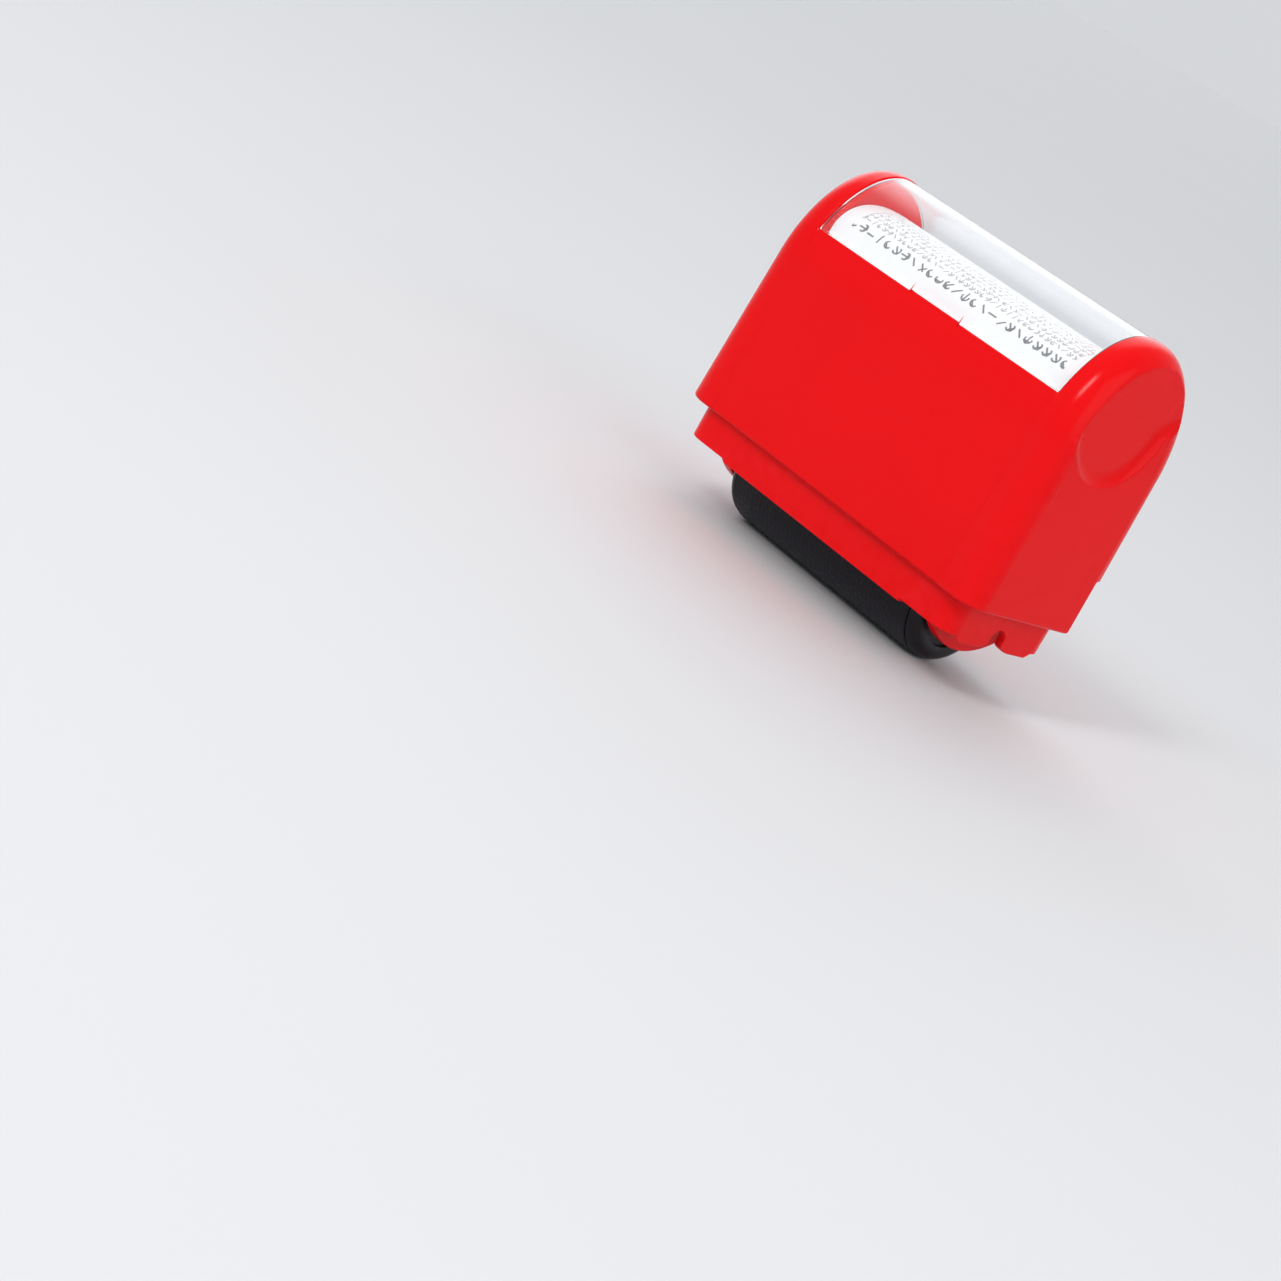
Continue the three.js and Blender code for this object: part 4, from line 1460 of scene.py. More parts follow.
@dataclass
class Casing:
    """The arched red casing, with its window pocket, thumb scoops, ribs and open underside."""

    arch: Arch = OUTER_ARCH
    half_length: float = 31.0
    lean: float = 1.0
    end_radius: float = 4.0
    edge: float = 0.2
    window_half: float = 24.8
    ledge: float = 0.7
    sill: float = 42.8
    seat_depth: float = 1.6
    deck: Arch = LABEL_DECK
    panel_inset: float = 0.2
    panel_run: float = 0.4
    panel_rise: float = 1.5
    catch: Triple = (5.0, -11.733, 43.0)
    catch_back: Triple = (-5.0, -12.333, 42.45)
    cavity: Arch = Arch(12.702, 12.202, 12.8, 35.1, 12.6)
    cavity_half: float = 29.6
    upper_cavity_half: float = 27.4
    cavity_radius: float = 2.85
    shelf: float = 31.8
    seam: float = 0.004
    rib_spacing: float = 32.0
    rib_width: float = 1.4
    rib_height: float = 6.5
    rib_depth: Pair = (10.1, 12.777)
    back_cut_depth: float = 10.452
    back_cut_top: float = 21.2
    scoop_centre: Pair = (-3.0, 43.7)
    scoop_radius: float = 10.9
    scoop_floor: float = 29.304
    scoop_reach: float = 12.0
    scoop_length: float = 14.0
    scoop_top: float = 60.0
    scoop_edge: float = 3.0
    scoop_steps: int = 12
    scoop_tilt: float = 0.035
    scoop_pivot: float = 9.0
    scoop_flare: Pair = (-0.12, 0.62)
    foot_edge: float = 0.5
    foot_steps: int = 4
    foot_sharpness: float = 38.0
    foot_band: Pair = (0.6, 0.5)
    foot_corner: float = 40.5

    def sink_panels(self, shell: Piece) -> None:
        """Sinks the middle of both long walls a little below the end bands, in a soft crease.

        Args:
            shell: The whole arched body, before anything is cut from it.
        """
        outer, inner = self.window_half, self.window_half - self.panel_run
        for place in (-outer, -inner, inner, outer):
            Bench.edit(shell, "FACE")
            bpy.ops.mesh.select_all(action="SELECT")
            bpy.ops.mesh.bisect(plane_co=(place * MM, 0.0, 0.0), plane_no=(1.0, 0.0, 0.0))
        for side in SIDES:
            Bench.edit(shell, "VERT")
            Bench.pick_points(
                shell,
                lambda place: abs(place.x) < inner + NEAR
                and place.y * side > 0
                and place.z < self.sill + self.panel_rise,
            )
            bpy.ops.transform.translate(value=(0.0, -side * self.panel_inset * MM, 0.0))
        Bench.settle(shell)

    def scoop_outline(self) -> Outline:
        """Lists a thumb scoop's outline: round below, open in front and above, slanted behind."""
        flare_start, flare_lean = self.scoop_flare
        middle_y = self.scoop_centre[0]
        far, top = self.scoop_length, self.scoop_top
        bowl = arc(self.scoop_centre, self.scoop_radius, 180, 360 + math.degrees(flare_start), 64)
        turn_y, turn_z = bowl[-1]
        end_y = turn_y + far * math.cos(flare_lean)
        end_z = turn_z + far * math.sin(flare_lean)
        return [(middle_y - self.scoop_radius, top), *bowl, (end_y, end_z), (end_y, top)]

    def scoop_tool(self, end: End) -> Piece:
        """Makes the tool for the thumb scoop of one end: round-edged, and deeper at the back."""
        start = end.value * self.scoop_floor
        stop = start + end.value * self.scoop_reach
        tool = Bench.prism("scoop_tool", self.scoop_outline(), Along.X, start, stop)
        Bench.round_edges(
            tool,
            lambda a, b: max(abs(a.x - start), abs(b.x - start)) < NEAR,
            self.scoop_edge,
            self.scoop_steps,
        )
        Bench.edit(tool, "VERT")
        bpy.ops.mesh.select_all(action="SELECT")
        bpy.ops.transform.rotate(
            value=-end.value * self.scoop_tilt,
            orient_axis="Z",
            center_override=Vector((start, self.scoop_pivot, 0.0)) * MM,
        )
        bpy.ops.object.mode_set(mode="OBJECT")
        return tool

    def at_foot(self, place: Vector) -> bool:
        """Says whether a point lies on the casing's outer lower outline."""
        end_band, front_band = self.foot_band
        return place.z < self.arch.foot + NEAR and (
            abs(place.x) > self.half_length - end_band
            or place.y < front_band - self.arch.half_foot
            or abs(place.x) + abs(place.y) > self.foot_corner
        )

    def build(self) -> Piece:
        """Builds the casing.

        Returns:
            The finished mesh, without its material.
        """
        shell = Bench.arch_body(
            "casing_shell", self.arch, self.half_length, self.end_radius, self.lean
        )
        self.sink_panels(shell)
        self.cut_window(shell)
        self.hollow_out(shell)
        for end in End:
            Bench.take(shell, self.scoop_tool(end))
        back = Bench.block(
            "back_tool",
            (-PAST_ENDS, self.back_cut_depth, 0),
            (PAST_ENDS, PAST_WALLS, self.back_cut_top),
        )
        Bench.take(shell, back)
        below = Bench.block(
            "below_tool",
            (-PAST_ENDS, -PAST_WALLS, -PAST_LEVEL),
            (PAST_ENDS, PAST_WALLS, self.arch.foot),
        )
        Bench.take(shell, below)
        Bench.round_edges(
            shell,
            lambda a, b: self.at_foot(a) and self.at_foot(b),
            self.foot_edge,
            self.foot_steps,
            self.foot_sharpness,
        )
        Bench.soften(shell, self.edge)
        return shell

    def cut_window(self, shell: Piece) -> None:
        """Cuts the pocket for lens and card, and adds the catch in front of the lens."""
        half = self.window_half
        seat = self.arch.inset(self.seat_depth).cap(self.sill)
        Bench.take(shell, Bench.prism("seat_tool", seat, Along.X, -half, half))
        half -= self.ledge
        room = self.deck.cap(self.sill)
        Bench.take(shell, Bench.prism("room_tool", room, Along.X, -half, half))
        catch = Bench.block("catch", self.catch_back, self.catch)
        Bench.join(shell, catch)

    def hollow_out(self, shell: Piece) -> None:
        """Hollows the casing and adds the ribs that steady it on the tank."""
        upper = Bench.arch_body(
            "upper_room", self.cavity, self.upper_cavity_half, self.cavity_radius, segments=6
        )
        Bench.take(shell, upper)
        drawn_in = self.cavity.inset(self.seam)
        lower = Bench.arch_body(
            "lower_room", drawn_in, self.cavity_half, self.cavity_radius, segments=6
        )
        Bench.slice(lower, self.shelf, keep_above=False)
        Bench.take(shell, lower)
        for side in SIDES:
            near, far = sorted(side * place for place in self.rib_depth)
            for end in End:
                middle = end.value * self.rib_spacing / 2
                rib = Bench.block(
                    "rib",
                    (middle - self.rib_width / 2, near, self.shelf + self.seam),
                    (middle + self.rib_width / 2, far, self.shelf + self.rib_height),
                )
                Bench.join(shell, rib)

    def dress(self) -> None:
        """Builds the casing and hands it over."""
        hand_over(self.build(), RED_PLASTIC, Body.CASING, "casing")


@dataclass
class Window:
    """The clear lens and the printed card that lies under it."""

    lens: Arch = OUTER_ARCH
    drop: float = 0.15
    thickness: float = 1.3
    half_length: float = 24.72
    edge: float = 42.86
    spare: float = 1.0
    rounding: float = 0.14
    relief_half: float = 5.1
    relief_base: float = 40.0
    lens_relief: Pair = (-11.43, 43.12)
    card_relief: Pair = (-11.72, 44.0)
    deck: Arch = LABEL_DECK
    lift: float = 0.3
    card_thickness: float = 0.35
    card_half: float = 23.95
    card_rounding: float = 0.02
    flap_reach: float = 12.1
    flap_base: float = 42.805
    flap_room: float = 0.01
    crease: float = 0.02
    layout_steps: int = 400

    def relieve(self, piece: Piece, relief: Pair) -> None:
        """Cuts away what stands in the room of the casing's catch.

        Args:
            piece: The lens or the card.
            relief: How far back and how far up the cut reaches.
        """
        half, (depth, top) = self.relief_half, relief
        tool = Bench.block(
            "relief_tool", (-half, -PAST_WALLS, self.relief_base), (half, depth, top)
        )
        Bench.take(piece, tool)

    def build_lens(self) -> Piece:
        """Builds the lens: an arched shell, relieved where the casing's catch holds it."""
        start = self.edge - self.lens.spring - self.spare
        inner = self.lens.inset(self.thickness)
        outline = self.lens.inset(self.drop).curve(start) + inner.curve(start)[::-1]
        half = self.half_length
        lens = Bench.prism("window_pane", outline, Along.X, -half, half)
        Bench.soften(lens, self.rounding)
        Bench.slice(lens, self.edge, keep_above=True)
        self.relieve(lens, self.lens_relief)
        Bench.shade(lens)
        return lens

    def build_card(self) -> Piece:
        """Builds the card, with a flat layout that follows its curve."""
        start = self.edge - self.deck.spring
        under = self.deck.inset(-self.lift)
        over = self.deck.inset(-self.lift - self.card_thickness)
        reach, base, top = self.flap_reach, self.flap_base, self.edge - self.flap_room
        fold = under.half_spring - self.crease
        outline = [
            (reach, top), *over.curve(start), (-reach, top),
            (-reach, base), (-fold, base), *under.curve(start)[::-1],
            (fold, base), (reach, base),
        ]
        half = self.card_half
        card = Bench.prism("masking_card", outline, Along.X, -half, half)
        self.relieve(card, self.card_relief)
        Bench.soften(card, self.card_rounding, segments=1)
        self.lay_out(card, over, start)
        return card

    def lay_out(self, card: Piece, arch: Arch, start: float) -> None:
        """Gives the card a UV map that runs along it and round its curve from the front.

        Args:
            card: The card.
            arch: The curve of its upper face.
            start: Height of the curve's start above its spring line.
        """
        steps = self.layout_steps
        curve = arch.curve(start, steps)[::-1]
        lengths = [0.0]
        for (y0, z0), (y1, z1) in zip(curve, curve[1:]):
            lengths.append(lengths[-1] + math.hypot(y1 - y0, z1 - z0))
        self.girth = lengths[-1]
        power = arch.fullness / 2
        first = math.asin((start / arch.rise) ** power)
        sheet = card.data.uv_layers.new(name="card")
        for loop in card.data.loops:
            place = card.data.vertices[loop.vertex_index].co / MM
            rise = max((place.z - arch.spring) / arch.rise, 0.0) ** power
            run = abs(place.y / arch.half_spring) ** power
            turn = math.atan2(rise, math.copysign(run, -place.y))
            share = (turn - first) / (math.pi - 2 * first)
            index = min(max(share, 0.0), 1.0) * steps
            step = min(int(index), steps - 1)
            length = lengths[step] + (index - step) * (lengths[step + 1] - lengths[step])
            along = place.x / (2 * self.card_half) + 0.5
            sheet.data[loop.index].uv = (along, length / self.girth)

    def dress(self) -> None:
        """Builds lens and card and hands them over."""
        hand_over(self.build_lens(), CLEAR_PLASTIC, Body.CASING, "window_lens")
        card = self.build_card()
        finish = PrintedCard("printed_card", "card", girth=self.girth)
        hand_over(card, finish, Body.CASING, "label_card")


@dataclass
class InnerFrame:
    """The red inner frame: an open box with two cheeks for the axles and outer guides."""

    half_length: float = 28.4
    half_depth: float = 12.2
    corner: float = 3.2
    wall: float = 1.3
    end_foot: float = 7.0
    wall_foot: float = 7.4
    band_top: float = 22.5
    draw_in: float = 0.55
    top: float = 30.0
    edge: float = 0.16
    corner_foot: float = 7.8
    corner_start: Pair = (18.0, 19.4)
    corner_slope: float = 1.0
    cheek: Pair = CHEEK
    cheek_foot: float = 4.0
    cheek_radius: float = 12.5
    axle_height: float = ROLLER_HEIGHT
    axle_hole: float = 2.7
    slot_half: float = 2.2
    slot_bottom: float = INKER_HEIGHT
    notch: float = 1.5
    notch_mouth: Pair = (2.6, 1.1)
    notch_start: float = 26.2
    past_end: float = 34.0
    guide_rows: Pair = (-5.0, 5.0)
    guide_reach: Pair = (27.2, 29.3)
    guide_half: float = 0.8
    guide_height: Pair = (17.0, 29.7)

    def cheek_outline(self) -> Outline:
        """Lists a cheek: a round lower edge under the axle, and a slot for the upper axle."""
        inner = self.half_depth - self.wall / 2
        upper = inner - self.draw_in
        reach = math.degrees(math.asin(inner / self.cheek_radius))
        middle = (0.0, self.cheek_foot + self.cheek_radius)
        edge = arc(middle, self.cheek_radius, -90 - reach, -90 + reach, 64)
        slot = arc((0.0, self.slot_bottom), self.slot_half, 0, -180, 24)
        return [
            *edge, (inner, self.band_top), (upper, self.band_top), (upper, self.top),
            (self.slot_half, self.top), *slot, (-self.slot_half, self.top),
            (-upper, self.top), (-upper, self.band_top), (-inner, self.band_top),
        ]

    def notch_outline(self) -> Outline:
        """Lists the slot in an end wall: round at the axle, with a wide curved mouth."""
        width, height = self.notch_mouth
        mouth = self.notch + width
        low = self.end_foot + height
        flare = [
            (mouth - width * math.sin(turn), low - height * math.cos(turn))
            for turn in quarter_turn(10)
        ]
        left = [(-across, up) for across, up in reversed(flare)]
        top = arc((0.0, self.axle_height), self.notch, 0, 180, 24)
        return [(mouth, 0.0), *flare, *top, *left, (-mouth, 0.0)]

    def corner_tool(self, end: End, side: int) -> Piece:
        """Makes the tool that lifts the foot of one corner, with a slope on both of its sides.

        Args:
            end: The end of the frame.
            side: 1 for the back corner, -1 for the front one.

        Returns:
            The tool.
        """
        near, far = (end.value * place for place in self.corner_start)
        straight = self.half_depth - self.corner
        foot = straight - self.corner_slope
        outline = [
            (side * foot, 0.0), (side * PAST_WALLS, 0.0), (side * PAST_WALLS, self.corner_foot),
            (side * straight, self.corner_foot), (side * foot, self.end_foot),
        ]
        tool = Bench.prism("corner_tool", outline, Along.X, near, end.value * self.past_end)
        Bench.edit(tool, "VERT")
        Bench.pick_points(
            tool,
            lambda place: abs(place.x - near) < NEAR and place.z > self.corner_foot - NEAR,
        )
        bpy.ops.transform.translate(value=((far - near) * MM, 0.0, 0.0))
        Bench.settle(tool)
        return tool

    def build(self) -> Piece:
        """Builds the frame.

        Returns:
            The finished mesh, without its material.
        """
        long, deep, wall = self.half_length, self.half_depth, self.wall
        shell = Bench.plate(
            "inner_frame", (long, deep), self.corner, self.end_foot, self.band_top
        )
        room = Bench.plate(
            "lower_room", (long - wall, deep - wall), self.corner - wall,
            0.0, self.band_top - wall,
        )
        long, deep = long - self.draw_in, deep - self.draw_in
        upper = Bench.plate(
            "upper_band", (long, deep), self.corner, self.band_top - wall, self.top
        )
        Bench.join(shell, upper)
        upper_room = Bench.plate(
            "upper_room", (long - wall, deep - wall), self.corner - wall,
            self.band_top - 2 * wall, self.top + PAST_LEVEL,
        )
        Bench.join(room, upper_room)
        Bench.take(shell, room)
        reach = self.half_length - self.corner
        foot = Bench.block(
            "foot_tool", (-reach, -PAST_WALLS, 0), (reach, PAST_WALLS, self.wall_foot)
        )
        Bench.take(shell, foot)
        for end in End:
            for side in SIDES:
                Bench.take(shell, self.corner_tool(end, side))
            self.add_end(shell, end)
        Bench.soften(shell, self.edge)
        return shell

    def add_end(self, shell: Piece, end: End) -> None:
        """Adds one end's cheek, notch and guides.

        Args:
            shell: The frame.
            end: The end.
        """
        near, far = (end.value * place for place in self.cheek)
        cheek = Bench.prism("cheek", self.cheek_outline(), Along.X, near, far)
        bore = circle((0.0, self.axle_height), self.axle_hole, 48)
        hole = Bench.prism("hole_tool", bore, Along.X, near - end.value, far + end.value)
        Bench.take(cheek, hole)
        Bench.join(shell, cheek)
        notch = Bench.prism(
            "notch_tool", self.notch_outline(), Along.X,
            end.value * self.notch_start, end.value * self.past_end,
        )
        Bench.take(shell, notch)
        start, stop = sorted(end.value * place for place in self.guide_reach)
        low, high = self.guide_height
        for row in self.guide_rows:
            guide = Bench.block(
                "guide", (start, row - self.guide_half, low), (stop, row + self.guide_half, high)
            )
            Bench.join(shell, guide)

    def dress(self) -> None:
        """Builds the frame and hands it over."""
        hand_over(self.build(), RED_PLASTIC, Body.FRAME, "frame")


@dataclass
class PrintingRoller:
    """The printing roller: rubber sleeve, hub, end flanges, axle and the axle's two clips."""

    axis: Pair = (0.0, ROLLER_HEIGHT)
    half: float = 19.0
    radius: float = 8.6
    rubber: float = 1.9
    rubber_edge: Pair = (0.3, 0.09)
    bore: float = 1.55
    hub_core: float = 2.8
    hub_room: float = 4.9
    hub_radius: float = 6.4
    hub_web: float = 2.0
    hub_edge: float = 0.12
    flange: Pair = (19.3, 20.8)
    flange_seat: float = 0.22
    flange_radius: float = 8.45
    flange_fall: float = 1.7
    spigot: Pair = (3.1, 4.6)
    spigot_length: float = 2.7
    dish: Pair = (2.6, 5.75)
    dish_depth: float = 0.5
    axle_half: float = 24.9
    axle_radius: float = 1.25
    axle_chamfer: float = 0.25
    axle_edge: float = 0.05
    groove: Pair = (23.6, 24.6)
    groove_radius: float = 0.9
    clip: Pair = (23.9, 24.3)
    clip_radii: Triple = (1.2, 1.95, 2.7)
    clip_mouth: int = 45
    clip_step: int = 5
    prongs: tuple[float, ...] = (55.0, 180.0, 305.0)
    prong_half: float = 10.0

    def sleeve(self) -> Piece:
        """Builds the rubber sleeve."""
        inner, outer, half = self.radius - self.rubber, self.radius, self.half
        chamfer, bulge = self.rubber_edge
        profile = [
            (inner, -half), (outer - chamfer, -half), (outer - bulge, -half + bulge),
            (outer, -half + chamfer), (outer, 0.0), (outer, half - chamfer),
            (outer - bulge, half - bulge), (outer - chamfer, half), (inner, half),
        ]
        piece = Bench.turned("printing_rubber", profile, centre=self.axis, steps=128)
        Bench.shade(piece)
        return piece

    def hub(self) -> Piece:
        """Builds the hub: a core and a shell on one web."""
        half, web = self.half, self.hub_web
        core, room = self.hub_core, self.hub_room
        profile = both_ways([
            (self.hub_radius, half), (room, half), (room, web), (core, web), (core, half),
            (self.bore, half),
        ])
        piece = Bench.turned("roller_hub", profile, centre=self.axis, steps=72)
        Bench.soften(piece, self.hub_edge, segments=2)
        return piece

    def end_flange(self) -> Piece:
        """Builds the right-hand flange: a spigot and a domed shoulder with a dished end."""
        start, stop = self.flange
        start -= self.flange_seat
        inner, outer = self.spigot
        boss, rim = self.dish
        deep, low = start - self.spigot_length, stop - self.dish_depth
        dome = [
            (
                self.flange_radius - self.flange_fall * (1 - math.cos(turn)),
                start + (stop - start) * math.sin(turn),
            )
            for turn in quarter_turn(16)
        ]
        profile = [
            (self.bore, start), (inner, start), (inner, deep), (outer, deep), (outer, start),
            *dome, (rim, stop), (rim, low), (boss, low), (boss, stop), (self.bore, stop),
        ]
        piece = Bench.turned("roller_flange_right", profile, centre=self.axis)
        Bench.soften(piece, self.hub_edge)
        return piece

    def axle(self) -> Piece:
        """Builds the axle, with a groove for a clip near each end."""
        end, radius, chamfer = self.axle_half, self.axle_radius, self.axle_chamfer
        start, stop = self.groove
        profile = both_ways([
            (radius, start), (self.groove_radius, start), (self.groove_radius, stop),
            (radius, stop), (radius, end - chamfer), (radius - chamfer, end), (0.0, end),
        ])
        piece = Bench.turned("roller_axle", profile, centre=self.axis, steps=48)
        Bench.soften(piece, self.axle_edge, segments=2)
        return piece

    def axle_clip(self) -> Piece:
        """Builds the right-hand clip: an open ring whose three prongs enter the groove."""
        bite, inside, outside = self.clip_radii
        first, last = self.clip_mouth, 360 - self.clip_mouth
        outer = [(outside, angle) for angle in range(first, last + 1, self.clip_step)]
        inner = []
        for angle in range(last, first - 1, -self.clip_step):
            near = min(abs(angle - prong) for prong in self.prongs)
            inner.append((bite if near <= self.prong_half else inside, angle))
        outline = [
            (
                self.axis[0] - radius * math.cos(math.radians(angle)),
                self.axis[1] + radius * math.sin(math.radians(angle)),
            )
            for radius, angle in outer + inner
        ]
        piece = Bench.prism("clip_right", outline, Along.X, *self.clip)
        Bench.soften(piece, self.axle_edge, segments=2)
        return piece

    def dress(self) -> None:
        """Builds the roller's pieces and hands them over."""
        body = Body.ROLLER
        hand_over(self.sleeve(), INKED_RUBBER, body, "die_sleeve")
        hand_over(self.hub(), BLACK_PLASTIC, body, "die_hub")
        flange = self.end_flange()
        left = Bench.copy_for(flange, "roller_flange_left")
        hand_over(flange, BLACK_PLASTIC, body, "die_flange_right")
        hand_over(left, BLACK_PLASTIC, body, "die_flange_left")
        hand_over(self.axle(), STEEL, body, "die_axle")
        clip = self.axle_clip()
        left = Bench.copy_for(clip, "clip_left")
        hand_over(clip, STEEL, body, "axle_clip_right")
        hand_over(left, STEEL, body, "axle_clip_left")


@dataclass
class InkRoller:
    """The foam roller that inks the printing roller, on its core and axle."""

    axis: Pair = (0.0, INKER_HEIGHT)
    half: float = 19.0
    radius: float = 5.2
    inner: float = 2.6
    shoulder: float = 0.8
    rows: int = 72
    unevenness: float = 0.14
    pore_size: float = 1.1
    core_bore: float = 1.3
    core_radius: float = 2.3
    core_half: float = 20.8
    core_edge: float = 0.1
    disc: Pair = (19.3, 20.1)
    disc_radius: float = 4.8
    axle_radius: float = 1.0
    axle_half: float = 23.3
    axle_chamfer: float = 0.25
    axle_edge: float = 0.05

    def foam(self) -> Piece:
        """Builds the foam: a sleeve with soft shoulders and an uneven, porous skin."""
        half, outer, shoulder = self.half, self.radius, self.shoulder
        straight = half - shoulder
        skin = [
            (outer, -straight + 2 * straight * row / self.rows) for row in range(self.rows + 1)
        ]
        left = arc((outer - shoulder, -straight), shoulder, 270, 360, 6)
        right = arc((outer - shoulder, straight), shoulder, 0, 90, 6)
        profile = [(self.inner, -half), *left[:-1], *skin, *right[1:], (self.inner, half)]
        piece = Bench.turned("ink_foam_sleeve", profile, centre=self.axis)
        Bench.roughen(piece, self.unevenness, self.pore_size)
        Bench.settle(piece)
        Bench.shade(piece, SOFT_ANGLE)
        return piece

    def core(self) -> Piece:
        """Builds the core: a tube with a disc at each end of the foam."""
        tube, plate, end = self.core_radius, self.disc_radius, self.core_half
        near, far = self.disc
        profile = both_ways([
            (tube, near), (plate, near), (plate, far), (tube, far), (tube, end),
            (self.core_bore, end),
        ])
        piece = Bench.turned("ink_core", profile, centre=self.axis, steps=64)
        Bench.soften(piece, self.core_edge, segments=2)
        return piece

    def axle(self) -> Piece:
        """Builds the ink roller's axle."""
        end, radius, chamfer = self.axle_half, self.axle_radius, self.axle_chamfer
        profile = both_ways([(radius, end - chamfer), (radius - chamfer, end), (0.0, end)])
        piece = Bench.turned("ink_spindle", profile, centre=self.axis, steps=48)
        Bench.soften(piece, self.axle_edge, segments=2)
        return piece

    def dress(self) -> None:
        """Builds the ink roller's pieces and hands them over."""
        body = Body.INKER
        foam = hand_over(self.foam(), FOAM, body, "ink_roller_foam")
        hand_over(self.core(), BLACK_PLASTIC, body, "ink_roller_core")
        hand_over(self.axle(), STEEL, body, "ink_axle")


@dataclass
class Bush:
    """A flanged nylon bush in each cheek, with its lip towards the roller."""

    name: str
    node: str
    height: float
    bore: float
    radius: float
    lip: float
    lip_place: Pair = (21.1, 21.6)
    end: float = CHEEK[1]
    edge: float = 0.07

    def dress(self) -> None:
        """Builds the right-hand bush, copies it to the left and hands both over."""
        start, stop = self.lip_place
        profile = [
            (self.bore, start), (self.lip, start), (self.lip, stop), (self.radius, stop),
            (self.radius, self.end), (self.bore, self.end),
        ]
        right = Bench.turned(f"{self.name}_right", profile, centre=(0.0, self.height), steps=56)
        Bench.soften(right, self.edge, segments=2)
        left = Bench.copy_for(right, f"{self.name}_left")
        hand_over(right, NYLON, Body.FRAME, f"{self.node}_right")
        hand_over(left, NYLON, Body.FRAME, f"{self.node}_left")


